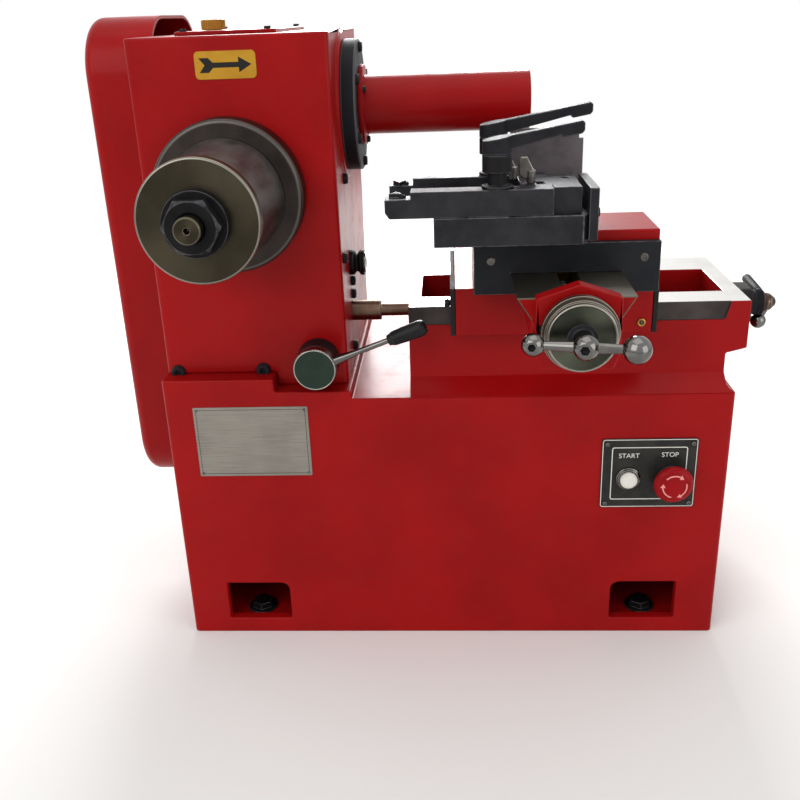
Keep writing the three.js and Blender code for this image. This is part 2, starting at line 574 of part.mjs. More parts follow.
function drumSpindleSolid() {
  const tailEnd = headstock.left + headstock.wall / 2 + gap;
  const faceInside = headRight - headstock.wall;
  const capFace = headRight + drumBoss.thickness + drumCap.thickness;
  const shaft = turned('x', [
    [tailEnd, drumSpindle.tailJournal], [tailEnd + drumSpindle.tailLength, drumSpindle.tailJournal],
    [tailEnd + drumSpindle.tailLength, drumSpindle.shaft], [faceInside - gap, drumSpindle.shaft],
    [faceInside - gap, drumSpindle.journal], [capFace, drumSpindle.journal], [capFace, drumSpindle.nose],
    [capFace + drumSpindle.noseLength, drumSpindle.nose],
  ], [drumY, upperZ]);
  return join(shaft, drumGear());
}

function wormShaftSolid() {
  const start = discX - worm.length / 2;
  const pulleyEnd = -driveBelt.fromWall - driveBelt.top;
  const ridge = worm.length / worm.ridges;
  const shaft = turned('x', [
    [pulleyEnd - gap, worm.shaft], [start - gap, worm.shaft],
    ...ridged(start, worm.length, worm.outer, worm.root, ridge),
    [discX + worm.length / 2, worm.shaft], [headRight - headstock.wall / 2 - gap, worm.shaft],
  ], [wormY, upperZ], worm.sides);
  return join(shaft, pulley(drivenPulley.radius, drivenPulley.hub, upperZ));
}

// Drum spindle's bearing cap and the closed guard tube over its arbor
function drumSide() {
  const capStart = headRight + drumBoss.thickness;
  const capEnd = capStart + drumCap.thickness;
  const cap = cut(
    turned('x', [[capStart, drumCap.radius], [capEnd - gap * 4, drumCap.radius], [capEnd, drumCap.radius - gap * 4]], [drumY, upperZ]),
    rod('x', [capStart - overrun, capEnd + overrun], drumSpindle.journal + gap, [drumY, upperZ]),
  );
  const tubeEnd = capEnd + guardTube.flangeThickness + guardTube.length;
  const tube = cut(
    join(
      rod('x', [capEnd, capEnd + guardTube.flangeThickness], guardTube.flangeRadius, [drumY, upperZ]),
      rod('x', [capEnd, tubeEnd], guardTube.radius, [drumY, upperZ]),
    ),
    rod('x', [capEnd - overrun, tubeEnd - guardTube.endThickness], guardTube.radius - guardTube.wall, [drumY, upperZ]),
  );
  return [piece('drum_bearing_cap', 'blackSteel', cap), piece('guard_tube', 'redPaint', tube)];
}

// Belt cover: a round-cornered shell with a round outer edge, open towards the machine
function beltCover() {
  const [low, high] = [motorZ - cover.underMotor, upperZ + cover.overWorm];
  const shell = (inset, right) => {
    const edge = cover.edgeRound - inset;
    const reach = cover.halfDepth - inset - edge;
    const shape = roundedShape([-reach, reach], [low + inset + edge, high - inset - edge], cover.cornerRound - inset - edge);
    const depth = cover.width - inset - edge;
    const geometry = new THREE.ExtrudeGeometry(shape, {
      depth, bevelEnabled: true, bevelThickness: edge, bevelSize: edge, bevelSegments: 2, curveSegments: cornerSegments,
    });
    geometry.applyMatrix4(slabFrame.x).translate(inset - cover.width + edge, wormY, 0);
    return shared(solidFrom(geometry), block(
      [-cover.width - overrun, right], [wormY - cover.halfDepth - overrun, wormY + cover.halfDepth + overrun],
      [low - overrun, high + overrun],
    ));
  };
  return cut(shell(0, 0), shell(cover.wall, overrun));
}

const pulleyCentre = -driveBelt.fromWall;

// A V-grooved pulley on a shaft along X: the groove is cut a clearance wider than the belt
function pulley(radius, hub, z) {
  const half = driveBelt.top / 2 + driveBelt.grooveLip;
  const root = radius - driveBelt.depth - gap;
  const profile = [
    [pulleyCentre - half, radius], [pulleyCentre - driveBelt.top / 2 - gap, radius],
    [pulleyCentre - driveBelt.top / 4 - gap, root], [pulleyCentre + driveBelt.top / 4 + gap, root],
    [pulleyCentre + driveBelt.top / 2 + gap, radius], [pulleyCentre + half, radius],
  ];
  return join(
    turned('x', profile, [wormY, z], pulleySides),
    rod('x', [pulleyCentre - half - driveBelt.grooveLip, pulleyCentre + half + driveBelt.grooveLip], hub, [wormY, z], pulleySides),
  );
}

// The belt's loop: both wraps and the tangents between them, V-shaped in section
function beltLoop() {
  const big = drivenPulley.radius;
  const small = motorPulley.radius;
  const span = upperZ - motorZ;
  const lean = Math.asin((big - small) / span);
  const inside = driveBelt.depth - gap;
  const loop = (inset) => {
    const shape = new THREE.Shape();
    shape.absarc(wormY, upperZ, big - inset, -lean, Math.PI + lean, false);
    shape.absarc(wormY, motorZ, small - inset, Math.PI + lean, 2 * Math.PI - lean, false);
    shape.closePath();
    return shape;
  };
  const carried = (shape, half) => {
    const geometry = new THREE.ExtrudeGeometry(shape, { depth: 2 * half, bevelEnabled: false, curveSegments: loopSegments });
    return solidFrom(geometry.applyMatrix4(slabFrame.x).translate(pulleyCentre - half, 0, 0));
  };
  const flank = (side) => {
    const slope = driveBelt.top / 4;
    const geometry = new THREE.ExtrudeGeometry(loop(inside), {
      depth: driveBelt.top, bevelEnabled: true, bevelThickness: slope, bevelSize: inside, bevelSegments: 1, curveSegments: loopSegments,
    });
    const start = side > 0 ? 2 * slope : -2 * slope - driveBelt.top;
    return solidFrom(geometry.applyMatrix4(slabFrame.x).translate(pulleyCentre + start, 0, 0));
  };
  return cut(carried(loop(0), driveBelt.top / 2 - gap), carried(loop(inside), driveBelt.top), flank(1), flank(-1));
}

// Motor: ribbed body, end bells, feet and its table on the base's floor
function motorPieces() {
  const start = base.wall + motor.fromWall;
  const end = start + motor.length;
  const tableTop = motorZ - motor.radius - motorMount.footHeight + motor.ribDepth;
  const ribs = slab('x', toothedOutline({
    outer: motor.radius, root: motor.radius - motor.ribDepth, teeth: motor.ribs, tipShare: 0.5,
  }, [wormY, motorZ]), [start + motor.endLength, end - motor.endLength]);
  const bells = turned('x', [
    [start, motor.endRadius - motor.ribDepth * 2], [start + motor.ribDepth * 2, motor.endRadius],
    [end - motor.ribDepth * 2, motor.endRadius], [end, motor.endRadius - motor.ribDepth * 2],
  ], [wormY, motorZ]);
  const feet = block(
    [start + motor.endLength, end - motor.endLength], [wormY - motorMount.footWidth / 2, wormY + motorMount.footWidth / 2],
    [tableTop, motorZ - motor.radius / 2],
  );
  const shaftBore = rod('x', [start - overrun, end - motor.endLength], motor.shaft + gap, [wormY, motorZ]);
  const middle = (start + end) / 2;
  const table = cut(
    block(
      [middle - motorMount.width / 2, middle + motorMount.width / 2], [wormY - motorMount.depth / 2, wormY + motorMount.depth / 2],
      [base.floor, tableTop],
    ),
    block(
      [middle - motorMount.width / 2 - overrun, middle + motorMount.width / 2 + overrun],
      [wormY - motorMount.depth / 2 + motorMount.leg, wormY + motorMount.depth / 2 - motorMount.leg],
      [base.floor - overrun, tableTop - motorMount.plate],
    ),
  );
  const shaftLeft = pulleyCentre - driveBelt.top;
  return [
    piece('motor_body', 'castIron', cut(join(ribs, bells, feet), shaftBore)),
    piece('motor_mount', 'castIron', table),
    piece('motor_shaft', 'brightSteel', join(
      rod('x', [shaftLeft, end - motor.endLength - gap], motor.shaft, [wormY, motorZ]),
      pulley(motorPulley.radius, motorPulley.hub, motorZ),
    )),
  ];
}

// Feed: leadscrew through the bed, the speed spool above it, the end bracket, dial and crank
const bracketEnd = bedRight + endBracket.thickness;
const dialStart = bracketEnd + gap;
const crankFace = dialStart + endDial.spacerLength + endDial.length;

function leadscrewSolid() {
  const sleeveEnd = headRight + leadscrew.sleeveLength;
  const threadStart = bed.left + bed.leftWall + leadscrew.radius;
  const threadEnd = bedRight - bed.rightWall - leadscrew.radius;
  const relief = leadscrew.radius - leadscrew.relief;
  return turned('x', [
    [headRight - leadscrew.seat + gap, leadscrew.radius], [headRight + gap, leadscrew.radius],
    [headRight + gap, leadscrew.sleeveRadius], [sleeveEnd, leadscrew.sleeveRadius], [sleeveEnd, leadscrew.radius],
    [threadStart, leadscrew.radius], [threadStart, relief], [threadStart + leadscrew.reliefLength, relief],
    [threadStart + leadscrew.reliefLength, leadscrew.radius], [threadEnd - leadscrew.reliefLength, leadscrew.radius],
    [threadEnd - leadscrew.reliefLength, relief], [threadEnd, relief], [threadEnd, leadscrew.radius],
    [bracketEnd, leadscrew.radius], [bracketEnd, endCrank.boreRadius],
    [crankFace + endCrank.hubReach, endCrank.boreRadius],
  ], [feedY, feedZ]);
}

function spoolSolid() {
  const start = headRight + gap;
  return join(
    turned('x', [
      [start, spool.radius], [start + spool.rimLength, spool.radius], [start + spool.length / 2, spool.grooveRadius],
      [start + spool.length - spool.rimLength, spool.radius], [start + spool.length, spool.radius],
    ], [feedY, feedZ + spool.rise]),
    rod('x', [headRight - spool.seat + gap, start + spool.length / 2], spool.shaft, [feedY, feedZ + spool.rise]),
  );
}

function feedEnd() {
  const bracket = cut(
    slab('x', roundedRectangle(
      [feedY - endBracket.halfWidth, feedY + endBracket.halfWidth], [feedZ - endBracket.halfHeight, feedZ + endBracket.halfHeight],
      endBracket.round,
    ), [bedRight, bracketEnd]),
    rod('x', [bedRight - overrun, bracketEnd + overrun], leadscrew.radius + gap, [feedY, feedZ]),
  );
  const dial = cut(
    turned('x', [
      [dialStart, endDial.spacerRadius], [dialStart + endDial.spacerLength, endDial.spacerRadius],
      [dialStart + endDial.spacerLength, endDial.radius], [crankFace, endDial.radius],
    ], [feedY, feedZ]),
    rod('x', [dialStart - overrun, crankFace + overrun], endCrank.boreRadius + gap, [feedY, feedZ]),
  );
  const hubX = crankFace + endCrank.hubReach;
  const lean = THREE.MathUtils.degToRad(endCrank.armLean);
  const ballX = hubX - endCrank.armReach * Math.sin(lean);
  const ballZ = feedZ - endCrank.armReach * Math.cos(lean);
  const crank = cut(
    join(
      ball(endCrank.hubRadius, [hubX, feedY, feedZ]),
      capsule([hubX, feedY, feedZ], [ballX, feedY, ballZ], endCrank.armRadius),
      ball(endCrank.ballRadius, [ballX, feedY, ballZ]),
    ),
    block(
      [bracketEnd, crankFace + gap], [feedY - 2 * endDial.radius, feedY + 2 * endDial.radius],
      [feedZ - endCrank.hubRadius, feedZ + 2 * endDial.radius],
    ),
    turned('x', [[bracketEnd, endDial.radius + gap], [crankFace + gap, endDial.radius + gap]], [feedY, feedZ]),
    rod('x', [bracketEnd, hubX + gap], endCrank.boreRadius + gap, [feedY, feedZ]),
  );
  const gripStart = [hubX, feedY + endCrank.hubRadius + gap, feedZ + endGrip.climb / 2];
  const gripEnd = [hubX, feedY + endCrank.hubRadius + endGrip.length, feedZ + endGrip.climb];
  return [
    piece('feed_end_bracket', 'castIron', bracket),
    piece('feed_dial', 'brightSteel', dial),
    piece('feed_crank', 'chrome', crank),
    piece('feed_crank_grip', 'blackPlastic', capsule(gripStart, gripEnd, endGrip.radius, endGrip.tipRadius)),
  ];
}

// A tapered round bar between two points, with flat ends
function capsule(from, to, radius, endRadius = radius) {
  const start = new THREE.Vector3(...from);
  const reach = new THREE.Vector3(...to).sub(start);
  const geometry = new THREE.CylinderGeometry(endRadius, radius, reach.length(), sidesFor(Math.max(radius, endRadius)));
  const turn = new THREE.Quaternion().setFromUnitVectors(unit.y, reach.clone().normalize());
  geometry.translate(0, reach.length() / 2, 0).applyQuaternion(turn).translate(...start.toArray());
  return solidFrom(geometry);
}

// Saddle: a plate over the ways with a front apron, and a dovetail that runs out over a neck towards the front
function dovetailOutline(clearance, bottom, top) {
  const flare = (dovetail.topWidth - dovetail.baseWidth) / 2;
  const slope = flare / dovetail.height;
  const half = (z) => dovetail.baseWidth / 2 + (z - saddleTop) * slope + clearance;
  return [[crossX - half(bottom), bottom], [crossX + half(bottom), bottom], [crossX + half(top), top], [crossX - half(top), top]];
}

function saddleCasting() {
  const plan = slab('z', roundedRectangle([saddle.left, saddleRight], [saddle.front, saddleRear], saddle.edgeRound),
    [wayTop - saddle.apronDrop, saddleTop]);
  const plate = cut(plan, block(
    [saddle.left - overrun, saddleRight + overrun], [bed.front - gap, saddleRear + overrun],
    [wayTop - saddle.apronDrop - overrun, wayTop + gap],
  ));
  const neckBottom = saddleTop - saddle.neckDrop;
  const neck = slab('y', [
    [crossX - saddle.neckFoot / 2, neckBottom], [crossX + saddle.neckFoot / 2, neckBottom],
    [crossX + dovetail.baseWidth / 2, saddleTop], [crossX - dovetail.baseWidth / 2, saddleTop],
  ], [neckFront, bed.front - gap]);
  const tail = slab('y', dovetailOutline(0, saddleTop, dovetailTop), [neckFront, saddleRear]);
  const rail = slab('y', rectangle([crossX - dovetail.baseWidth / 2, crossX + dovetail.baseWidth / 2],
    [wayTop + overrun, saddleTop + gap]), [neckFront + overrun, saddleRear - overrun]);
  const channel = slab('y', rectangle([crossX - screwChannel.halfWidth, crossX + screwChannel.halfWidth],
    [crossZ - screwChannel.depth, dovetailTop + overrun]), [neckFront + screwChannel.frontWall, neckFront + screwChannel.length]);
  const screwBore = rod('y', [neckFront - overrun, neckFront + screwChannel.frontWall + overrun], crossScrew.journal + gap, [crossX, crossZ]);
  return cut(join(plate, neck, rail, tail), channel, screwBore);
}

function wayWiper(side) {
  const inner = side > 0 ? saddleRight : saddle.left;
  const span = side > 0 ? [inner, inner + wiper.thickness] : [inner - wiper.thickness, inner];
  return slab('x', [
    [saddle.front, wayTop - saddle.apronDrop], [bed.front - gap, wayTop - saddle.apronDrop], [bed.front - gap, wayTop + gap],
    [bed.front + wiper.reach, wayTop + gap], [bed.front + wiper.reach, saddleTop], [saddle.front, saddleTop],
  ], span);
}

function leadscrewNut() {
  const nut = cut(
    block(
      [crossX - leadNut.width / 2, crossX + leadNut.width / 2], [feedY - leadNut.depth / 2, feedY + leadNut.depth / 2],
      [feedZ - leadNut.drop, wayTop + gap],
    ),
    rod('x', [crossX - leadNut.width, crossX + leadNut.width], leadscrew.radius + gap, [feedY, feedZ]),
  );
  return piece('leadscrew_nut', 'brass', nut);
}

// Cross screw with its bracket, dial and three-ball handle
function crossScrewSolid() {
  const threadStart = neckFront + crossScrew.threadStart;
  return turned('y', [
    [dialFace - ballHandle.reach, crossScrew.journal], [threadStart, crossScrew.journal], [threadStart, crossScrew.crest],
    [threadStart + crossScrew.threadLength, crossScrew.crest], [threadStart + crossScrew.threadLength, crossScrew.journal],
    [threadStart + crossScrew.threadLength + crossScrew.tail, crossScrew.journal],
  ], [crossX, crossZ]);
}

function screwBracketSolid() {
  const outline = [
    [crossX - screwBracket.footHalfWidth, crossZ - screwBracket.foot], [crossX + screwBracket.footHalfWidth, crossZ - screwBracket.foot],
    [crossX + screwBracket.halfWidth, crossZ - screwBracket.waist], [crossX + screwBracket.halfWidth, crossZ + screwBracket.shoulder],
    [crossX, crossZ + screwBracket.peak], [crossX - screwBracket.halfWidth, crossZ + screwBracket.shoulder],
    [crossX - screwBracket.halfWidth, crossZ - screwBracket.waist],
  ];
  const front = neckFront - screwBracket.thickness;
  const sinks = [-1, 1].map((side) => rod('y', [front - overrun, front + screwBracket.boltSink], screwBracket.boltRadius, [
    crossX + side * (screwBracket.halfWidth - screwBracket.boltFromSide), crossZ,
  ]));
  const bore = rod('y', [front - overrun, neckFront + overrun], crossScrew.journal + gap, [crossX, crossZ]);
  return cut(slab('y', outline, [front, neckFront]), bore, ...sinks);
}

function crossDialSolid() {
  const rear = neckFront - screwBracket.thickness - gap;
  const rim = dialFace + crossDial.length;
  const faceEnd = dialFace + crossDial.faceLength;
  const middleEnd = faceEnd + crossDial.middleLength;
  return cut(
    turned('y', [
      [dialFace, crossDial.faceRadius - crossDial.chamfer], [dialFace + crossDial.chamfer, crossDial.faceRadius],
      [faceEnd, crossDial.faceRadius], [faceEnd, crossDial.middleRadius], [middleEnd, crossDial.middleRadius],
      [middleEnd, crossDial.radius], [rim, crossDial.radius], [rim, crossDial.collarRadius], [rear, crossDial.collarRadius],
    ], [crossX, crossZ]),
    rod('y', [dialFace - overrun, rear + overrun], crossScrew.journal + gap, [crossX, crossZ]),
  );
}

// The handle is turned as one bar of three balls along X, then leaned towards the front about its middle ball
function ballHandleMesh() {
  const arcSteps = 4;
  const arc = (centre, radius, from, to) => Array.from({ length: arcSteps + 1 }).map((_, step) => {
    const angle = from + ((to - from) * step) / arcSteps;
    return [centre - radius * Math.cos(angle), radius * Math.sin(angle)];
  });
  const edge = (radius, arm) => Math.asin(arm / radius);
  const { small, middle, large, armRoot, armTip } = ballHandle;
  const profile = [
    ...arc(-ballHandle.smallReach, small, 0.05, Math.PI - edge(small, armTip)),
    ...arc(0, middle, edge(middle, armRoot), Math.PI - edge(middle, armRoot)),
    ...arc(ballHandle.largeReach, large, edge(large, armTip), Math.PI - 0.05),
  ];
  const sockets = [0, -ballHandle.smallReach].map((along, index) => rod('y', [
    -[middle, small][index] - overrun, ballHandle.socketDepth - [middle, small][index],
  ], ballHandle.socketRadius, [along, 0], 6));
  const bar = cut(turned('x', profile, [0, 0], handleSides), ...sockets).rotate([0, 0, -ballHandle.lean]);
  const hubBack = ballHandle.reach - gap;
  const hub = rod('y', [0, hubBack], ballHandle.hubRadius, [0, 0]);
  const bore = rod('y', [-gap, hubBack + overrun], crossScrew.journal + gap, [0, 0]);
  return groupAt([crossX, dialFace - ballHandle.reach, crossZ], [piece('cross_ball_handle', 'chrome', cut(join(bar, hub), bore))]);
}

// Cross slide: a riser block over the dovetail with a dark front plate
function crossSlidePieces() {
  const across = [crossX - slide.width / 2, crossX + slide.width / 2];
  const bottom = saddleTop + gap;
  const notch = (span) => slab('y', dovetailOutline(gap, saddleTop - overrun, dovetailTop + gap), span);
  const riser = cut(
    shared(
      block(across, [slide.front, slideRear], [bottom, slideTop]),
      slab('z', roundedRectangle(across, [slide.front, slideRear], slide.edgeRound), [bottom, slideTop]),
    ),
    notch([slide.front - overrun, slideRear + overrun]),
  );
  const plateSpan = [slide.front - frontPlate.thickness, slide.front];
  const plate = cut(
    block(across, plateSpan, [bottom, slideTop - frontPlate.drop]),
    notch([plateSpan[0] - overrun, plateSpan[1] + overrun]),
  );
  const nutFront = slide.front + crossNut.fromFront;
  const nut = cut(
    block([crossX - crossNut.width / 2, crossX + crossNut.width / 2], [nutFront, nutFront + crossNut.depth],
      [crossZ - screwChannel.depth + gap * 2, dovetailTop + gap]),
    rod('y', [nutFront - overrun, nutFront + crossNut.depth + overrun], crossScrew.crest + gap, [crossX, crossZ]),
  );
  return [
    piece('cross_slide', 'redPaint', riser),
    piece('slide_front_plate', 'blackSteel', plate),
    piece('cross_nut', 'brass', nut),
  ];
}

// Tool slide: base plate, middle block between the two tool bars, end plate and chip guard
function toolSlideBase() {
  const rear = toolSlide.front + toolSlide.depth;
  return slab('z', [
    [toolSlide.left, toolSlide.front], [toolRight - toolSlide.cornerCut, toolSlide.front],
    [toolRight, toolSlide.front + toolSlide.cornerCutDepth], [toolRight, rear], [toolSlide.left, rear],
  ], [slideTop, toolTop]);
}

const barGap = [frontBarRear + gap, toolBar.rearFront - gap];

function middleBlockSolid() {
  const teeLeft = middleBlock.left + middleBlock.tee + gap;
  const right = middleBlock.left + middleBlock.length;
  const top = toolTop + toolBar.height;
  const body = slab('z', [
    [middleBlock.left, barGap[0]], [teeLeft, barGap[0]], [teeLeft, barGap[0] - middleBlock.teeFront],
    [right, barGap[0] - middleBlock.teeFront], [right, barGap[1] + middleBlock.teeRear], [teeLeft, barGap[1] + middleBlock.teeRear],
    [teeLeft, barGap[1]], [middleBlock.left, barGap[1]],
  ], [toolTop, top]);
  const slotLeft = middleBlock.left + middleBlock.slotFromLeft;
  const slotFront = barGap[0] + middleBlock.slotLength;
  const slot = block([slotLeft, slotLeft + middleBlock.slotLength], [slotFront, slotFront + middleBlock.slotWidth], [top - overrun, top + overrun]);
  const hole = rod('z', [top - overrun, top + overrun], middleBlock.holeRadius,
    [right - middleBlock.holeFromRight, barGap[1] - middleBlock.holeFromRear]);
  return cut(body, slot, hole);
}

// A tool bar with its stepped nose; the slot lets it slide under its clamp
function toolBarSolid(front, side) {
  const left = toolBar.left;
  const right = toolBar.left + toolBar.length;
  const bottom = toolTop + gap;
  const body = slab('y', [
    [left + toolBar.noseCut, bottom], [right, bottom], [right, barTop], [left + toolBar.stepLength, barTop],
    [left + toolBar.stepLength, barTop - toolBar.stepDrop], [left, barTop - toolBar.stepDrop], [left, bottom + toolBar.noseCut],
  ], [front, front + toolBar.width]);
  const reach = clamp.shank + gap;
  const middle = front + toolBar.width / 2;
  const slot = join(
    rod('z', [bottom - overrun, barTop + overrun], reach, [clamp.x, middle]),
    rod('z', [bottom - overrun, barTop + overrun], reach, [clamp.x + toolBar.travel, middle]),
    block([clamp.x, clamp.x + toolBar.travel], [middle - reach, middle + reach], [bottom - overrun, barTop + overrun]),
  );
  return cut(join(body, cutterTip(front, side)), slot);
}

// The cutter seated on a bar's step, its point towards the rotor between the bars
function cutterTip(front, side) {
  const inner = side > 0 ? front + toolBar.width : front;
  const seat = barTop - toolBar.stepDrop;
  const left = toolBar.left + tip.reach;
  const corners = [
    [left, inner - side * tip.width], [left + tip.length, inner - side * tip.width], [left + tip.length / 2, inner + side * tip.reach],
  ];
  return slab('z', corners, [seat - gap, seat + tip.thickness]);
}

// End plate: bolted across the right end of the tool slide, from the cross slide up past the tool bars
function endPlateSolid() {
  const left = toolRight + gap;
  const right = left + endPlate.thickness;
  const middle = endPlate.front + endPlate.depth / 2;
  return join(
    block([left, right], [endPlate.front, endPlate.front + endPlate.depth], [slideTop + gap, toolTop + endPlate.height]),
    rod('x', [right - overrun, right + endPlate.capReach], endPlate.capRadius, [middle, toolTop + endPlate.height / 2]),
  );
}

function chipGuardSolid() {
  const rear = slideRear - chipGuard.rearMargin;
  const right = chipGuard.left + chipGuard.length;
  const top = slideTop + chipGuard.height;
  return join(
    slab('y', [
      [chipGuard.left, slideTop], [right, slideTop], [right, top - chipGuard.stepDrop],
      [right - chipGuard.stepLength, top - chipGuard.stepDrop], [right - chipGuard.stepLength, top], [chipGuard.left, top],
    ], [rear - chipGuard.thickness, rear]),
    block([chipGuard.left, right], [rear - chipGuard.foot, rear], [slideTop, slideTop + chipGuard.thickness]),
  );
}

// A clamp: fixed post through its bar, and the lever on top of it
function clampPost(rise) {
  const washerTop = barTop - toolTop + gap + clamp.washerHeight;
  const lowerTop = washerTop + clamp.lowerHeight + rise;
  const upperTop = lowerTop + clamp.upperHeight;
  return turned('z', [
    [0, clamp.shank], [washerTop - clamp.washerHeight, clamp.shank], [washerTop - clamp.washerHeight, clamp.washerRadius],
    [washerTop, clamp.washerRadius], [washerTop, clamp.lowerRadius], [lowerTop, clamp.lowerRadius],
    [lowerTop, clamp.upperRadius], [upperTop, clamp.upperRadius], [upperTop, clamp.spigot],
    [upperTop + clamp.headHeight - gap, clamp.spigot],
  ], [0, 0]);
}

function clampLever(reach) {
  const lift = (x) => clamp.headHeight + x * clampArm.slope;
  const tipX = reach - clampArm.tipRound;
  const notchRight = tipX - clampArm.notchLength / 3;
  const notchLeft = notchRight - clampArm.notchLength;
  const underTip = lift(tipX) - clampArm.tipHeight;
  const arm = slab('y', [
    [0, 0], [clamp.upperRadius, 0], [notchLeft, underTip], [notchLeft, underTip + clampArm.notchDepth],
    [notchRight, underTip + clampArm.notchDepth], [notchRight, underTip], [tipX, underTip],
    [reach, underTip + clampArm.tipRound], [reach, lift(tipX) - clampArm.tipRound], [tipX, lift(tipX)], [0, clamp.headHeight],
  ], [-clampArm.width / 2, clampArm.width / 2]);
  const head = rod('z', [0, clamp.headHeight], clamp.upperRadius, [0, 0]);
  const bore = rod('z', [-overrun, clamp.headHeight - gap / 2], clamp.spigot + gap, [0, 0]);
  return cut(join(head, arm), bore);
}

function clampSet(name, y, rise, reach) {
  const leverBase = barTop - toolTop + gap + clamp.washerHeight + clamp.lowerHeight + rise + clamp.upperHeight + gap;
  const lever = piece(`clamp_lever_${name}`, 'blackSteel', clampLever(reach));
  lever.position.z = leverBase;
  return groupAt([clamp.x, y, toolTop], [piece(`clamp_post_${name}`, 'blackSteel', clampPost(rise)), lever]);
}

// Small lock screw: collared stud with a bent arm
function lockScrewMesh(name, x, y) {
  const lean = THREE.MathUtils.degToRad(lockScrew.armLean);
  const armTop = [-lockScrew.armLength * Math.sin(lean), 0, lockScrew.height + lockScrew.armLength * Math.cos(lean) - lockScrew.armRadius];
  const solid = join(
    turned('z', [
      [0, lockScrew.radius], [lockScrew.height / 2, lockScrew.radius], [lockScrew.height / 2, lockScrew.collar],
      [lockScrew.collarTop, lockScrew.collar], [lockScrew.collarTop, lockScrew.radius], [lockScrew.height, lockScrew.tip],
    ], [0, 0]),
    capsule([0, 0, lockScrew.height - lockScrew.armRadius], armTop, lockScrew.armRadius),
  );
  return groupAt([x, y, toolTop + toolBar.height + gap], [piece(name, 'greyPlate', solid)]);
}

// Shift lever: hub on a stub shaft, rod and black grip leaning up to the right
function shiftLeverGroup() {
  const back = -gap;
  const front = back - shiftLever.length;
  const hub = turned('y', [
    [front, shiftLever.radius - shiftLever.rim], [front + shiftLever.rim, shiftLever.radius], [back, shiftLever.radius],
    [back, shiftLever.shaft], [shiftLever.seat - gap, shiftLever.shaft],
  ], [0, 0]);
  const rodY = front + shiftLever.rodFromFace;
  const gripEnd = shiftLever.rodReach + shiftLever.gripLength;
  const rodBar = rod('x', [0, gripEnd - shiftLever.gripLength / 2], shiftLever.rodRadius, [rodY, 0]);
  const grip = cut(
    turned('x', [
      [shiftLever.rodReach, shiftLever.gripNeck], [shiftLever.rodReach + shiftLever.gripBack, shiftLever.gripWaist],
      [gripEnd - shiftLever.gripBack, shiftLever.gripRadius], [gripEnd, shiftLever.gripTip],
    ], [rodY, 0]),
    rod('x', [shiftLever.rodReach - overrun, gripEnd - shiftLever.gripLength / 2 + gap], shiftLever.rodRadius + gap, [rodY, 0]),
  );
  const group = groupAt([shiftX, headstock.front, shiftZ], [
    piece('shift_lever', 'hubGreen', join(hub, rodBar)),
    piece('shift_lever_grip', 'blackPlastic', grip),
  ]);
  group.rotation.y = -THREE.MathUtils.degToRad(shiftLever.lean);
  return group;
}

// Control panel with the start button in its bezel and the mushroom stop button
function controls() {
  const face = -panel.thickness;
  const plate = slab('y', roundedRectangle(
    [panelLeft, panelLeft + panel.width], [panelBottom, panelBottom + panel.height], panel.round,
  ), [face, 0]);
  const wallHole = (radius, x, z) => rod('y', [face - overrun, overrun], radius, [x, z]);
  const bezel = cut(
    turned('y', [
      [face - startButton.bezelReach, startButton.bezelRadius - gap * 4], [face - startButton.bezelReach + gap * 4, startButton.bezelRadius],
      [0, startButton.bezelRadius],
    ], [startX, startZ]),
    rod('y', [face - startButton.bezelReach - overrun, face], startButton.bezelBore, [startX, startZ]),
  );
  const button = join(
    rod('y', [face - startButton.reach, face - startButton.travel - gap], startButton.radius, [startX, startZ]),
    rod('y', [face - startButton.reach / 2, startButton.stemReach], startButton.stem, [startX, startZ]),
  );
  const collar = turned('y', [
    [face - stopButton.collarReach, stopButton.collarRadius - gap * 4], [0, stopButton.collarRadius],
  ], [stopX, stopZ]);
  const headBack = face - stopButton.reach + stopButton.headHeight;
  const headFront = face - stopButton.reach;
  const mushroom = turned('y', [
    [headFront, stopButton.crownRadius], [headFront + stopButton.browDepth, stopButton.brow],
    [headFront + stopButton.rimFront, stopButton.headRadius], [headFront + stopButton.rimBack, stopButton.headRadius],
    [headBack, stopButton.neck],
  ], [stopX, stopZ]);
  const plunger = rod('y', [headBack - overrun + gap, stopButton.stemReach], stopButton.stem, [stopX, stopZ]);
  const socket = rod('y', [headBack - overrun, headBack + overrun], stopButton.stem + gap, [stopX, stopZ]);
  const holes = [wallHole(startButton.stem + gap, startX, startZ), wallHole(stopButton.stem + gap, stopX, stopZ)];
  const collarHole = rod('y', [face - stopButton.collarReach - overrun, overrun], stopButton.stem + gap, [stopX, stopZ]);
  return [
    piece('control_panel', 'aluminium', cut(join(plate, bezel, collar), ...holes, collarHole)),
    piece('start_button', 'whitePlastic', button),
    piece('stop_plunger', 'blackPlastic', plunger),
    piece('stop_button', 'redPlastic', cut(mushroom, socket)),
  ];
}

const nameplate = () => block([plateLabel.left, plateLabel.left + plateLabel.width], [-plateLabel.thickness, 0],
  [deck - plateLabel.fromTop - plateLabel.height, deck - plateLabel.fromTop]);
const arrowPlate = () => slab('y', roundedRectangle(
  [arrowLabel.left, arrowLabel.left + arrowLabel.width],
  [headTop - arrowLabel.fromTop - arrowLabel.height, headTop - arrowLabel.fromTop], arrowLabel.round,
), [headstock.front - arrowLabel.thickness, headstock.front]);

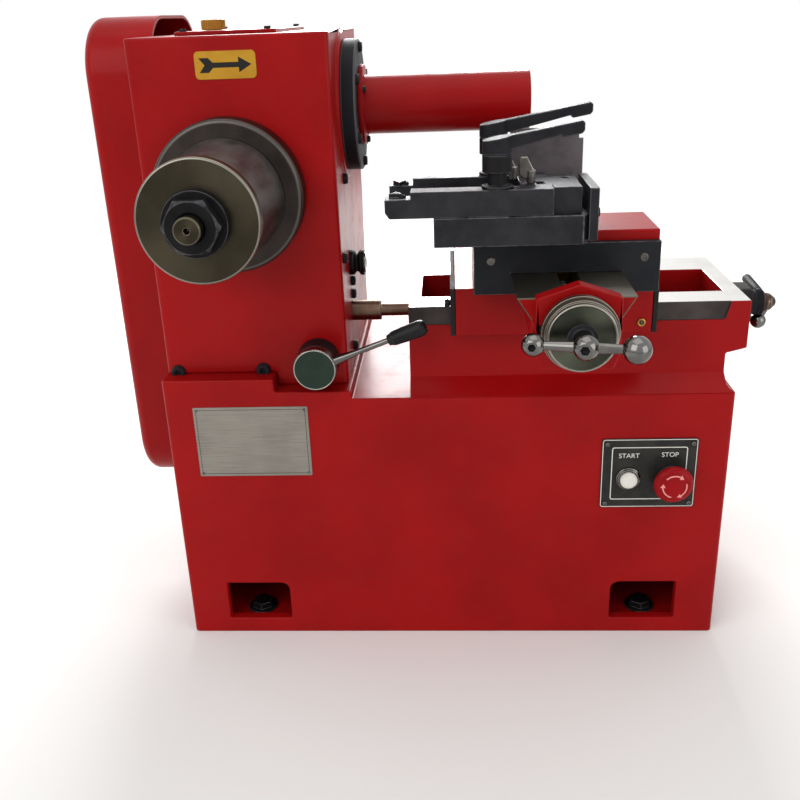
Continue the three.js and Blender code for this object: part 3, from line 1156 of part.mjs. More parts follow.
const lathe = groupAt([-base.length / 2, -base.depth / 2, 0], [
  piece('base_casting', 'redPaint', baseCasting()),
  piece('base_rear_cover', 'redPaint', rearCover()),
  ...footBolts(),
  piece('bed', 'redPaint', bedCasting()),
  piece('headstock', 'redPaint', headstockHousing()),
  piece('headstock_top_cover', 'redPaint', headstockTopCover()),
  groupAt([capX, capY, headTop + topCover.thickness], [piece('filler_cap', 'yellowPlastic', fillerCapSolid())]),
  piece('disc_spindle', 'brightSteel', discSpindleSolid()),
  ...discAdaptors(),
  piece('drum_spindle', 'brightSteel', drumSpindleSolid()),
  piece('worm_shaft', 'brightSteel', wormShaftSolid()),
  ...drumSide(),
  piece('belt_cover', 'redPaint', beltCover()),
  piece('drive_belt', 'rubber', beltLoop()),
  ...motorPieces(),
  piece('leadscrew', 'brownSteel', leadscrewSolid()),
  piece('feed_spool', 'blackSteel', spoolSolid()),
  ...feedEnd(),
  piece('saddle', 'redPaint', saddleCasting()),
  piece('way_wiper_left', 'rubber', wayWiper(-1)),
  piece('way_wiper_right', 'rubber', wayWiper(1)),
  leadscrewNut(),
  piece('cross_screw', 'brightSteel', crossScrewSolid()),
  piece('screw_bracket', 'redPaint', screwBracketSolid()),
  piece('cross_dial', 'brightSteel', crossDialSolid()),
  ballHandleMesh(),
  ...crossSlidePieces(),
  piece('tool_slide_base', 'blackSteel', toolSlideBase()),
  piece('tool_middle_block', 'blackSteel', middleBlockSolid()),
  piece('tool_bar_front', 'blackSteel', toolBarSolid(toolSlide.front, 1)),
  piece('tool_bar_rear', 'blackSteel', toolBarSolid(toolBar.rearFront, -1)),
  piece('tool_end_plate', 'blackSteel', endPlateSolid()),
  piece('chip_guard', 'greyPlate', chipGuardSolid()),
  clampSet('front', toolSlide.front + toolBar.width / 2, 0, clampArm.frontReach),
  clampSet('rear', toolBar.rearFront + toolBar.width / 2, clamp.rearRise, clampArm.rearReach),
  lockScrewMesh('lock_screw_front', lockScrew.frontX, lockScrew.frontY),
  lockScrewMesh('lock_screw_rear', lockScrew.rearX, lockScrew.rearY),
  shiftLeverGroup(),
  ...controls(),
  piece('nameplate', 'aluminium', nameplate()),
  piece('arrow_label', 'yellowPlastic', arrowPlate()),
]);

export default lathe;
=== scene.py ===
import json
import math

import bmesh
import bpy
from mathutils import Matrix, Vector


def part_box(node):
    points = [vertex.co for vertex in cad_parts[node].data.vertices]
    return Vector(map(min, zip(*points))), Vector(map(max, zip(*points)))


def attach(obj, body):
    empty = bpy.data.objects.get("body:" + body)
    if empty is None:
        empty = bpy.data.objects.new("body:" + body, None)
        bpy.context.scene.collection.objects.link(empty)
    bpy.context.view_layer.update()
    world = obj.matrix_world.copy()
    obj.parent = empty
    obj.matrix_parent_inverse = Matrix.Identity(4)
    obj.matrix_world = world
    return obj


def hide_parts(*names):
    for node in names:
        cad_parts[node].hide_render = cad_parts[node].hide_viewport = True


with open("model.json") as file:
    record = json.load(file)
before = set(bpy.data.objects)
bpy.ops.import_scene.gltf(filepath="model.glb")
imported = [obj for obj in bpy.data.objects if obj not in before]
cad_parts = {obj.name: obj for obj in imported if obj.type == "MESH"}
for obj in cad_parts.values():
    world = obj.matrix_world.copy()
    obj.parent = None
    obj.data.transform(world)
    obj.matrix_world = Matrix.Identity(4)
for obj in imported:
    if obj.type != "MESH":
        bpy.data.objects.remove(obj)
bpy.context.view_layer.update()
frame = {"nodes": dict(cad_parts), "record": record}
nodeMeshes = frame["nodes"]
bodyOf = {node: body for body, nodes in frame["record"]["behaviour"]["bodies"].items() for node in nodes}
mm = 0.001
print("frame loaded:", len(nodeMeshes), "nodes")


# Several of a dictionary's values, by their names
def picked(sizes, names):
    return [sizes[name] for name in names.split()]


# A wrapped socket, so that 1 - mask adds its Math node
class Wire:
    def __init__(self, nodes, socket):
        self.nodes = nodes
        self.socket = socket

    def combine(self, operation, first, second):
        return self.nodes.add("ShaderNodeMath", {"operation": operation}, {0: first, 1: second})

    def __add__(self, other):
        return self.combine("ADD", self, other)

    def __radd__(self, other):
        return self.combine("ADD", other, self)

    def __sub__(self, other):
        return self.combine("SUBTRACT", self, other)

    def __rsub__(self, other):
        return self.combine("SUBTRACT", other, self)

    def __mul__(self, other):
        return self.combine("MULTIPLY", self, other)

    def __rmul__(self, other):
        return self.combine("MULTIPLY", other, self)

    def __truediv__(self, other):
        return self.combine("DIVIDE", self, other)

    def __mod__(self, other):
        return self.combine("MODULO", self, other)

    def __pow__(self, other):
        return self.combine("POWER", self, other)

    def __gt__(self, other):
        return self.combine("GREATER_THAN", self, other)

    def __lt__(self, other):
        return self.combine("LESS_THAN", self, other)

    def smooth(self, low, high):
        settings = {"interpolation_type": "SMOOTHSTEP", "clamp": True}
        return self.nodes.add("ShaderNodeMapRange", settings, {"Value": self, "From Min": low, "From Max": high})


# A node tree with one method that makes any node
class NodeTree:
    def add(self, kind, settings, values, output=0):
        node = self.tree.nodes.new(kind)
        for key, value in settings.items():
            setattr(node, key, value)
        for key, value in values.items():
            self.feed(node.inputs[key], value)
        return Wire(self, node.outputs[output])

    def feed(self, socket, value):
        if isinstance(value, Wire):
            self.tree.links.new(value.socket, socket)
        elif socket.type == "RGBA" and len(value) == 3:
            socket.default_value = (*value, 1.0)
        else:
            socket.default_value = value

    def maths(self, operation, value):
        return self.add("ShaderNodeMath", {"operation": operation}, {0: value})

    def vector(self, **parts):
        return self.add("ShaderNodeCombineXYZ", {}, parts)


# One material's nodes
class Finish(NodeTree):
    def __init__(self, name):
        self.material = bpy.data.materials.new(name)
        self.material.use_nodes = True
        self.tree = self.material.node_tree
        self.surface = self.tree.nodes["Principled BSDF"]
        self.coords = self.add("ShaderNodeTexCoord", {}, {}, "Object")

    def noise(self, scale, detail=4.0, roughness=0.55, at=None):
        values = {"Vector": at or self.coords, "Scale": scale, "Detail": detail, "Roughness": roughness}
        return self.add("ShaderNodeTexNoise", {}, values)

    def mix(self, factor, first, second):
        return self.add("ShaderNodeMix", {"data_type": "RGBA"}, {0: factor, 6: first, 7: second}, 2)

    def bump(self, height, strength, distance):
        return self.add("ShaderNodeBump", {}, {"Height": height, "Strength": strength, "Distance": distance * mm})

    def placed(self, centre=(0, 0, 0), scale=(1, 1, 1)):
        location = tuple(-c * mm * s for c, s in zip(centre, scale))
        values = {"Vector": self.coords, "Location": location, "Scale": scale}
        return self.add("ShaderNodeMapping", {"vector_type": "POINT"}, values)

    def parts(self, vector):
        node = self.tree.nodes.new("ShaderNodeSeparateXYZ")
        self.feed(node.inputs["Vector"], vector)
        return [Wire(self, output) for output in node.outputs]

    # The two coordinates across an axis through a centre given in millimetres, and the one along it
    def across(self, centre, axis):
        x, y, z = self.parts(self.placed(centre))
        return {"x": (y, z, x), "y": (x, z, y), "z": (x, y, z)}[axis]

    # Painted sheen: two lighter sectors round an axis stand in for the highlight that a faced disc shows
    def paintedSheen(self, first, second, lane):
        angle = second.combine("ARCTAN2", second, first)
        wave = self.maths("SINE", angle * 2.0 + lane * 0.5 - 0.35) * 0.5 + 0.5
        return wave ** 2.0

    def edges(self):
        return self.add("ShaderNodeAttribute", {"attribute_name": "edge"}, {}, "Fac")

    def set(self, **sockets):
        names = {"color": "Base Color", "roughness": "Roughness", "metallic": "Metallic", "coat": "Coat Weight",
                 "coatRoughness": "Coat Roughness", "normal": "Normal", "specular": "Specular IOR Level"}
        for key, value in sockets.items():
            self.feed(self.surface.inputs[names[key]], value)
        return self.material


def srgb(red, green, blue):
    return tuple(((c / 255 + 0.055) / 1.055) ** 2.4 if c > 10 else c / 255 / 12.92 for c in (red, green, blue))


def lowOf(node):
    return Vector(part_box(node)[0]) / mm


def highOf(node):
    return Vector(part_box(node)[1]) / mm


def spanOf(node):
    return lowOf(node), highOf(node)


def middleOf(node):
    return (lowOf(node) + highOf(node)) / 2


print("building finishes")

paint = {
    "body": srgb(154, 12, 14), "deep": srgb(126, 8, 10), "chip": srgb(52, 30, 30), "dust": srgb(140, 40, 38),
    "roughness": 0.34, "specular": 0.09, "coat": 0.05, "coatRoughness": 0.14, "mottle": 9.0, "mottleShare": 0.55,
    "grit": 34.0, "gritShare": 0.12, "peel": 420.0, "peelStrength": 0.34, "peelDepth": 0.25,
    "chipScale": 190.0, "chipShare": 0.66,
}


def redPaint():
    finish = Finish("redPaint")
    mottle = finish.noise(paint["mottle"], 3.0).smooth(0.35, 0.7)
    grit = finish.noise(paint["grit"], 6.0, 0.7).smooth(0.45, 0.75)
    peel = finish.noise(paint["peel"], 2.0)
    chips = finish.noise(paint["chipScale"], 5.0, 0.7) > paint["chipShare"]
    worn = chips * finish.edges()
    tone = finish.mix(mottle * paint["mottleShare"], paint["body"], paint["deep"])
    tone = finish.mix(grit * paint["gritShare"], tone, paint["dust"])
    finish.set(
        color=finish.mix(worn, tone, paint["chip"]),
        roughness=paint["roughness"] + grit * 0.1 + worn * 0.3,
        normal=finish.bump(peel + grit * 0.4, paint["peelStrength"], paint["peelDepth"]),
        coat=paint["coat"] - worn * paint["coat"],
        coatRoughness=paint["coatRoughness"],
        specular=paint["specular"],
    )
    return finish.material


oxide = {"grain": 620.0, "cloud": 38.0, "scratch": (900.0, 60.0, 260.0), "rubbed": 120.0, "wear": 0.75}


# Blackened or bare steel: cloudy tone, fine grain, brighter worn edges
def darkSteel(name, tone, cloud, worn, roughness, metallic, specular=0.5):
    finish = Finish(name)
    clouds = finish.noise(oxide["cloud"], 5.0, 0.6).smooth(0.3, 0.7)
    grain = finish.noise(oxide["grain"], 3.0, 0.6)
    scratch = finish.noise(1.0, 4.0, 0.6, finish.placed(scale=oxide["scratch"]))
    rubbed = finish.edges() * finish.noise(oxide["rubbed"], 4.0, 0.65).smooth(0.32, 0.6) * oxide["wear"]
    color = finish.mix(rubbed, finish.mix(clouds, tone, cloud), worn)
    finish.set(
        color=color,
        roughness=roughness + clouds * 0.12 + scratch.smooth(0.4, 0.8) * 0.08 - rubbed * 0.12,
        metallic=metallic,
        normal=finish.bump(grain + scratch * 0.5, 0.22, 0.12),
        specular=specular,
    )
    return finish.material


# Turned steel: fine tool marks that circle the piece's own axis
def turnedSteel(name, centre, axis, tone, cloud, roughness, pitch, depth, metallic=1.0, along=False, worn=None, paintedSheen=0.0,
                specular=0.5):
    finish = Finish(name)
    first, second, runOut = finish.across(centre, axis)
    reach = (first * first + second * second) ** 0.5
    rings = finish.maths("SINE", (runOut if along else reach) * (2 * math.pi / (pitch * mm)))
    lane = finish.noise(1.0, 3.0, 0.6, finish.vector(X=reach * 900.0, Y=runOut * 900.0))
    clouds = finish.noise(45.0, 4.0, 0.6).smooth(0.3, 0.72)
    color = finish.mix(clouds * 0.6 + lane * 0.4, tone, cloud)
    # Painted sheen: sectors by angle round the axis are mixed toward a lighter tone, a painted highlight
    if paintedSheen:
        light = tuple(min(channel * 3.2, 0.8) for channel in tone)
        color = finish.mix(finish.paintedSheen(first, second, lane) * paintedSheen, color, light)
    if worn:
        color = finish.mix(finish.edges() * 0.7, color, worn)
    finish.set(
        color=color,
        roughness=roughness + lane * 0.14 + clouds * 0.08,
        metallic=metallic,
        normal=finish.bump(rings * 0.35 + lane, depth, 0.05),
        specular=specular,
    )
    return finish.material


def castIron(name, tone, cloud, roughness, pores=420.0):
    finish = Finish(name)
    clouds = finish.noise(26.0, 5.0, 0.6).smooth(0.3, 0.7)
    cells = finish.add("ShaderNodeTexVoronoi", {"feature": "F1"}, {"Vector": finish.coords, "Scale": pores})
    pits = cells.smooth(0.0, 0.4)
    cut = finish.noise(1.0, 3.0, 0.5, finish.placed(scale=(40.0, 900.0, 900.0)))
    finish.set(
        color=finish.mix(clouds, tone, cloud),
        roughness=roughness + clouds * 0.15 + cut * 0.1,
        metallic=0.75,
        normal=finish.bump(pits * 0.5 + cut, 0.3, 0.12),
    )
    return finish.material


# Moulded plastic or rubber with a fine matt grain
def moulded(name, tone, cloud, roughness, grain=700.0, depth=0.2, coat=0.0, specular=0.22):
    finish = Finish(name)
    clouds = finish.noise(55.0, 3.0).smooth(0.35, 0.7)
    texture = finish.noise(grain, 3.0, 0.6)
    rubbed = finish.edges() * 0.35
    finish.set(
        color=finish.mix(clouds * 0.5 + rubbed, tone, cloud),
        roughness=roughness + clouds * 0.08 - rubbed * 0.15,
        normal=finish.bump(texture, depth, 0.08),
        coat=coat,
        coatRoughness=0.1,
        specular=specular,
    )
    return finish.material


def chromePlate():
    finish = Finish("chrome")
    smear = finish.noise(70.0, 4.0, 0.6).smooth(0.4, 0.75)
    scratch = finish.noise(1.0, 4.0, 0.6, finish.placed(scale=(240.0, 240.0, 1400.0))).smooth(0.55, 0.85)
    finish.set(
        color=finish.mix(smear * 0.5, srgb(112, 110, 107), srgb(80, 77, 74)),
        roughness=0.09 + smear * 0.1 + scratch * 0.12,
        metallic=1.0,
        normal=finish.bump(scratch, 0.08, 0.05),
    )
    return finish.material


# Brushed plate: long streaks along X
def brushed(name, tone, cloud, roughness, metallic=0.9):
    finish = Finish(name)
    streaks = finish.noise(1.0, 5.0, 0.65, finish.placed(scale=(30.0, 1500.0, 1500.0)))
    clouds = finish.noise(30.0, 3.0).smooth(0.35, 0.7)
    finish.set(
        color=finish.mix(streaks.smooth(0.3, 0.7) * 0.7 + clouds * 0.3, tone, cloud),
        roughness=roughness + streaks * 0.16,
        metallic=metallic,
        normal=finish.bump(streaks, 0.15, 0.06),
    )
    return finish.material


red = redPaint()
black = darkSteel("blackOxide", srgb(16, 16, 18), srgb(27, 26, 28), srgb(74, 72, 74), 0.4, 0.35, specular=0.14)
plateBlack = darkSteel("plateBlack", srgb(24, 26, 30), srgb(33, 34, 38), srgb(84, 84, 88), 0.44, 0.3, specular=0.2)
charcoal = darkSteel("toolBlack", srgb(30, 30, 34), srgb(44, 44, 48), srgb(98, 97, 101), 0.3, 0.35, specular=0.26)
satinBlack = darkSteel("leverBlack", srgb(26, 26, 29), srgb(37, 37, 41), srgb(76, 76, 80), 0.46, 0.05, specular=0.1)
guardSteel = darkSteel("guardPlate", srgb(82, 77, 79), srgb(102, 96, 98), srgb(140, 132, 130), 0.42, 0.6, specular=0.3)
greyStud = darkSteel("greyStud", srgb(112, 108, 103), srgb(78, 75, 72), srgb(166, 162, 156), 0.32, 0.85)
iron = castIron("machinedIron", srgb(52, 46, 45), srgb(74, 66, 64), 0.4)
wayTop = brushed("groundWay", srgb(236, 234, 231), srgb(206, 203, 199), 0.2, 0.95)
rawIron = castIron("rawIron", srgb(56, 52, 50), srgb(40, 38, 38), 0.6, 260.0)
chrome = chromePlate()
brass = darkSteel("brass", srgb(176, 138, 62), srgb(140, 104, 44), srgb(214, 184, 110), 0.28, 1.0)
brownSteel = darkSteel("brownSteel", srgb(70, 53, 45), srgb(48, 35, 30), srgb(124, 106, 94), 0.28, 0.95)
plateMetal = brushed("brushedPlate", srgb(150, 145, 136), srgb(124, 119, 111), 0.4, 0.7)
yellow = moulded("yellowPlastic", srgb(188, 138, 48), srgb(150, 102, 30), 0.42)
labelYellow = moulded("labelYellow", srgb(186, 138, 40), srgb(164, 114, 30), 0.4, 300.0, 0.1, specular=0.14)
blackPlastic = moulded("blackPlastic", srgb(18, 18, 20), srgb(36, 36, 38), 0.36, specular=0.18)
rubber = moulded("rubber", srgb(24, 24, 25), srgb(44, 43, 42), 0.72, 420.0, 0.4)
redPlastic = moulded("redPlastic", srgb(152, 14, 19), srgb(128, 10, 15), 0.34, 500.0, 0.1, 0.03, 0.09)
whitePlastic = moulded("whitePlastic", srgb(224, 222, 214), srgb(204, 200, 190), 0.34)
ink = moulded("blackInk", srgb(20, 19, 18), srgb(34, 32, 30), 0.5)
whiteInk = moulded("whiteInk", srgb(226, 224, 218), srgb(206, 203, 196), 0.5)
engraved = moulded("engravedInk", srgb(34, 34, 32), srgb(52, 50, 47), 0.55)
print("finishes done")


# Mesh work is in millimetres and scaled when the object is made
def objectFrom(name, work, finish, smoothAngle=40.0):
    mesh = bpy.data.meshes.new(name)
    bmesh.ops.scale(work, vec=(mm, mm, mm), verts=work.verts)
    work.to_mesh(mesh)
    work.free()
    item = bpy.data.objects.new(name, mesh)
    bpy.context.scene.collection.objects.link(item)
    mesh.materials.append(finish)
    mesh.shade_smooth()
    mesh.set_sharp_from_angle(angle=math.radians(smoothAngle))
    return item


# Gives a finished piece its node's body; it stands for the CAD nodes named after that
def fit(item, node, *stoodFor):
    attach(item, bodyOf[node])
    if stoodFor:
        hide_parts(*stoodFor)
    return item


def applied(item):
    made = bpy.data.meshes.new_from_object(item.evaluated_get(bpy.context.evaluated_depsgraph_get()))
    old = item.data
    item.modifiers.clear()
    item.data = made
    bpy.data.meshes.remove(old)
    return item


# Flat faces keep flat shading beside their rounded edges
def weighted(item):
    item.modifiers.new("faceWeights", "WEIGHTED_NORMAL").keep_sharp = True
    return applied(item)


def markEdges(work, faces):
    layer = work.loops.layers.float.get("edge") or work.loops.layers.float.new("edge")
    for face in faces:
        for loop in face.loops:
            loop[layer] = 1.0


# A merged copy of a CAD node with its sharp edges rounded, which stands for that node; reshape may move its points
def softened(node, width, finish, steps=3, reshape=None):
    work = bmesh.new()
    work.from_mesh(nodeMeshes[node].data)
    bmesh.ops.scale(work, vec=(1 / mm,) * 3, verts=work.verts)
    bmesh.ops.remove_doubles(work, verts=work.verts, dist=0.004)
    bmesh.ops.dissolve_limit(work, angle_limit=math.radians(0.6), verts=work.verts, edges=work.edges)
    for vert in work.verts:
        vert.co = reshape(vert.co) if reshape else vert.co
    limit = math.radians(34)
    corners = [edge for edge in work.edges if len(edge.link_faces) == 2 and edge.calc_face_angle(0.0) > limit]
    rounded = bmesh.ops.bevel(work, geom=corners, offset=width, offset_type="OFFSET", segments=steps, profile=0.5,
                              affect="EDGES", clamp_overlap=False, miter_outer="ARC")
    markEdges(work, rounded["faces"])
    return fit(weighted(objectFrom(node + "_dressed", work, finish, 45)), node, node)


# Corners of a turned profile become small arcs; each point carries the number of its arc, or 0
def easedProfile(profile, radius, steps=3, closed=False):
    points = [Vector(point) for point in profile]
    eased = []
    for index, here in enumerate(points):
        atEnd = not closed and index in (0, len(points) - 1)
        before, after = points[index - 1], points[(index + 1) % len(points)]
        reach = 0 if atEnd else min(radius, (before - here).length * 0.45, (after - here).length * 0.45)
        turn = 0 if atEnd or reach < 0.01 else (here - before).angle(after - here)
        if turn < math.radians(12):
            eased.append((here, 0))
            continue
        start, end = here + (before - here).normalized() * reach, here + (after - here).normalized() * reach
        for step in range(steps + 1):
            share = step / steps
            bent = start * (1 - share) ** 2 + here * (2 * share * (1 - share)) + end * share ** 2
            eased.append((bent, index + 1))
    return eased


axisFrames = {
    "x": lambda along, radius, angle: (along, radius * math.cos(angle), radius * math.sin(angle)),
    "y": lambda along, radius, angle: (radius * math.cos(angle), along, radius * math.sin(angle)),
    "z": lambda along, radius, angle: (radius * math.cos(angle), radius * math.sin(angle), along),
}


# A turned shape: the profile lists [along, radius], and a bore closes it into a ring
def turn(work, axis, profile, centre, ease=0.4, sides=96, bore=None):
    shape = list(profile)
    if bore is None:
        shape = [(profile[0][0], 0.0)] + shape + [(profile[-1][0], 0.0)]
    elif bore != "closed":
        shape += [(profile[-1][0], bore), (profile[0][0], bore)]
    eased = easedProfile(shape, ease, closed=bore is not None)
    place, origin = axisFrames[axis], Vector(centre)
    rings = []
    for (along, radius), _ in eased:
        count = sides if radius > 1e-6 else 1
        rings.append([work.verts.new(origin + Vector(place(along, radius, 2 * math.pi * i / sides)))
                      for i in range(count)])
    made, onArc = [], []
    last = len(rings) if bore is not None else len(rings) - 1
    for index in range(last):
        ringA, ringB = rings[index], rings[(index + 1) % len(rings)]
        if len(ringA) == 1 and len(ringB) == 1:
            continue
        for i in range(sides):
            j = (i + 1) % sides
            corners = [ringA[i % len(ringA)], ringA[j % len(ringA)], ringB[j % len(ringB)], ringB[i % len(ringB)]]
            face = work.faces.new(list(dict.fromkeys(corners)))
            made.append(face)
            if eased[index][1] and eased[index][1] == eased[(index + 1) % len(eased)][1]:
                onArc.append(face)
    bmesh.ops.recalc_face_normals(work, faces=made)
    markEdges(work, onArc)
    return made


def turnedPiece(name, node, axis, profile, centre, finish, *stoodFor, ease=0.4, sides=96, bore=None):
    work = bmesh.new()
    turn(work, axis, profile, centre, ease, sides, bore)
    return fit(weighted(objectFrom(name, work, finish, 35)), node, *stoodFor)


# Moves a profile's points along its axis
def shifted(start, shape):
    return [(start + step, radius) for step, radius in shape]


# An outline carried along an axis, with its edges rounded
def prism(work, outline, axis, low, high, ease=0.5, steps=2):
    place = {"x": lambda u, v, w: (w, u, v), "y": lambda u, v, w: (u, w, v)}[axis]
    bottom = [work.verts.new(place(u, v, low)) for u, v in outline]
    top = [work.verts.new(place(u, v, high)) for u, v in outline]
    faces = [work.faces.new(bottom), work.faces.new(top)]
    for i in range(len(outline)):
        j = (i + 1) % len(outline)
        faces.append(work.faces.new([bottom[i], bottom[j], top[j], top[i]]))
    bmesh.ops.recalc_face_normals(work, faces=faces)
    if ease:
        edges = {e for face in faces for e in face.edges if e.calc_face_angle(0.0) > math.radians(28)}
        rounded = bmesh.ops.bevel(work, geom=list(edges), offset=ease, offset_type="OFFSET", segments=steps,
                                  profile=0.5, affect="EDGES", clamp_overlap=False)
        markEdges(work, rounded["faces"])
    return work


def prismPiece(name, node, outline, axis, low, high, finish, *stoodFor, ease=0.2, steps=2):
    work = prism(bmesh.new(), outline, axis, low, high, ease, steps)
    return fit(weighted(objectFrom(name, work, finish)), node, *stoodFor)


# Joins each ring of points to the next with four-sided faces
def bridged(work, rings, closed=True):
    following = rings[1:] + rings[:1] if closed else rings[1:]
    faces = []
    for first, second in zip(rings, following):
        for i in range(len(first)):
            j = (i + 1) % len(first)
            faces.append(work.faces.new([first[i], first[j], second[j], second[i]]))
    return faces


def roundedOutline(left, right, low, high, radius, steps=5):
    corners = [(right - radius, high - radius, 0), (left + radius, high - radius, 90),
               (left + radius, low + radius, 180), (right - radius, low + radius, 270)]
    return [(x + radius * math.cos(math.radians(start + 90 * step / steps)),
             y + radius * math.sin(math.radians(start + 90 * step / steps)))
            for x, y, start in corners for step in range(steps + 1)]


# Node trees that repeat a shape; each has named inputs and ends in Realize Instances and Set Material
class Pattern(NodeTree):
    def __init__(self, name, inputs):
        self.tree = bpy.data.node_groups.new(name, "GeometryNodeTree")
        self.tree.interface.new_socket("Geometry", in_out="INPUT", socket_type="NodeSocketGeometry")
        self.keys = {}
        for label, kind, value in inputs:
            socket = self.tree.interface.new_socket(label, in_out="INPUT", socket_type=f"NodeSocket{kind}")
            if value is not None:
                socket.default_value = value
            self.keys[label] = socket.identifier
        self.tree.interface.new_socket("Geometry", in_out="OUTPUT", socket_type="NodeSocketGeometry")
        self.entry = self.tree.nodes.new("NodeGroupInput")

    def given(self, label):
        return Wire(self, self.entry.outputs[label])

    def lifted(self, geometry, height):
        return self.add("GeometryNodeTransform", {}, {0: geometry, "Translation": self.vector(Z=height)})

    def onPoints(self, shape, **settings):
        points = {"Points": self.given("Geometry"), "Instance": shape}
        return self.add("GeometryNodeInstanceOnPoints", {}, {**points, **settings})

    def finish(self, geometry):
        real = self.add("GeometryNodeRealizeInstances", {}, {0: geometry})
        worn = self.add("GeometryNodeSetMaterial", {}, {0: real, "Material": self.given("Material")})
        self.feed(self.tree.nodes.new("NodeGroupOutput").inputs[0], worn)
        return self


# Cap screw with a hexagon socket, repeated on points and faced along an axis
def capScrewPattern():
    pattern = Pattern("capScrews", [
        ("Head Radius", "Float", 0.0065), ("Head Height", "Float", 0.006), ("Socket", "Float", 0.0034),
        ("Facing", "Vector", (0.0, 0.0, 0.0)), ("Material", "Material", None)])
    radius, height = pattern.given("Head Radius"), pattern.given("Head Height")
    head = pattern.add("GeometryNodeMeshCylinder", {}, {"Vertices": 28, "Radius": radius, "Depth": height})
    crown = pattern.add("GeometryNodeMeshCone", {}, {
        "Vertices": 28, "Radius Top": radius * 0.84, "Radius Bottom": radius * 1.2, "Depth": height})
    socket = pattern.add("GeometryNodeMeshCylinder", {}, {
        "Vertices": 6, "Radius": pattern.given("Socket"), "Depth": height})
    eased = pattern.add("GeometryNodeMeshBoolean", {"operation": "INTERSECT", "solver": "EXACT"}, {1: head})
    pattern.feed(eased.socket.node.inputs[1], pattern.lifted(crown, height * -0.5))
    cut = pattern.add("GeometryNodeMeshBoolean", {"operation": "DIFFERENCE", "solver": "EXACT"}, {
        0: eased, 1: pattern.lifted(socket, height * 0.45)})
    return pattern.finish(pattern.onPoints(pattern.lifted(cut, height * 0.5), Rotation=pattern.given("Facing")))


# Bars set round an axis, such as graduations, knurls and teeth; every so many is longer
def barRingPattern():
    pattern = Pattern("barRing", [
        ("Count", "Int", 60), ("Radius", "Float", 0.03), ("Wide", "Float", 0.0005), ("High", "Float", 0.0004),
        ("Long", "Float", 0.004), ("Every", "Int", 5), ("Longer", "Float", 1.6),
        ("Facing", "Vector", (0.0, 0.0, 0.0)), ("Material", "Material", None)])
    count, radius, long = pattern.given("Count"), pattern.given("Radius"), pattern.given("Long")
    line = pattern.add("GeometryNodeMeshLine", {}, {"Count": count, "Offset": (0.0, 0.0, 0.0)})
    index = pattern.add("GeometryNodeInputIndex", {}, {})
    angle = index / count * (2 * math.pi)
    spot = pattern.vector(X=pattern.maths("COSINE", angle) * radius, Y=pattern.maths("SINE", angle) * radius)
    spots = pattern.add("GeometryNodeSetPosition", {}, {"Geometry": line, "Position": spot})
    isLong = index % pattern.given("Every") < 0.5
    stretch = isLong * (pattern.given("Longer") - 1.0) + 1.0
    bar = pattern.add("GeometryNodeMeshCube", {}, {
        "Size": pattern.vector(X=pattern.given("High"), Y=pattern.given("Wide"), Z=long)})
    placed = pattern.add("GeometryNodeInstanceOnPoints", {}, {
        "Points": spots, "Instance": pattern.lifted(bar, long * 0.5), "Rotation": pattern.vector(Z=angle),
        "Scale": pattern.vector(X=1.0, Y=1.0, Z=stretch)})
    turned = pattern.add("GeometryNodeTransform", {}, {0: placed, "Rotation": pattern.given("Facing")})
    return pattern.finish(pattern.onPoints(turned))


# A screw thread: a ridge swept along a helix
def threadPattern():
    pattern = Pattern("thread", [
        ("Core Radius", "Float", 0.0055), ("Length", "Float", 0.2), ("Pitch", "Float", 0.004),
        ("Ridge", "Float", 0.001), ("Facing", "Vector", (0.0, 0.0, 0.0)), ("Material", "Material", None)])
    core, length = pattern.given("Core Radius"), pattern.given("Length")
    helix = pattern.add("GeometryNodeCurveSpiral", {}, {
        "Resolution": 18, "Rotations": length / pattern.given("Pitch"), "Start Radius": core, "End Radius": core,
        "Height": length, "Reverse": False})
    ridge = pattern.add("GeometryNodeCurvePrimitiveCircle", {"mode": "RADIUS"}, {
        "Resolution": 4, "Radius": pattern.given("Ridge")})
    swept = pattern.add("GeometryNodeCurveToMesh", {}, {"Curve": helix, "Profile Curve": ridge, "Fill Caps": True})
    turned = pattern.add("GeometryNodeTransform", {}, {0: swept, "Rotation": pattern.given("Facing")})
    return pattern.finish(pattern.onPoints(turned))


quarter = math.pi / 2
facings = {"front": (quarter, 0.0, 0.0), "back": (-quarter, 0.0, 0.0), "right": (0.0, quarter, 0.0),
           "left": (0.0, -quarter, 0.0), "up": (0.0, 0.0, 0.0)}
capScrews, barRing, thread = capScrewPattern(), barRingPattern(), threadPattern()


# Runs a pattern on points, keeps the plain mesh and fits it to its node
def grown(name, node, pattern, points, facing, finish, **values):
    mesh = bpy.data.meshes.new(name)
    mesh.from_pydata([Vector(point) * mm for point in points], [], [])
    item = bpy.data.objects.new(name, mesh)
    bpy.context.scene.collection.objects.link(item)
    modifier = item.modifiers.new("pattern", "NODES")
    modifier.node_group = pattern.tree
    for label, value in {**values, "Facing": facings[facing], "Material": finish}.items():
        modifier[pattern.keys[label.replace("_", " ")]] = value
    applied(item)
    item.data.shade_smooth()
    item.data.set_sharp_from_angle(angle=math.radians(35))
    return fit(item, node)


def screws(name, node, places, facing, radius, height, finish=satinBlack, socket=0.52):
    return grown(name, node, capScrews, places, facing, finish, Head_Radius=radius * mm, Head_Height=height * mm,
                 Socket=radius * socket * mm)


def ring(name, node, centre, facing, finish, count, radius, high, wide, long, every=1000, longer=1.0):
    return grown(name, node, barRing, [centre], facing, finish, Count=count, Radius=radius * mm, High=high * mm,
                 Wide=wide * mm, Long=long * mm, Every=every, Longer=longer)


def threadOn(name, node, start, facing, finish, core, length, pitch, ridge):
    return grown(name, node, thread, [start], facing, finish, Core_Radius=core * mm, Length=length * mm,
                 Pitch=pitch * mm, Ridge=ridge * mm)


# Places near the corners of a node's front face
def frontCorners(node, inset, y):
    low, high = spanOf(node)
    return [(x, y, z) for x in (low.x + inset, high.x - inset) for z in (low.z + inset, high.z - inset)]


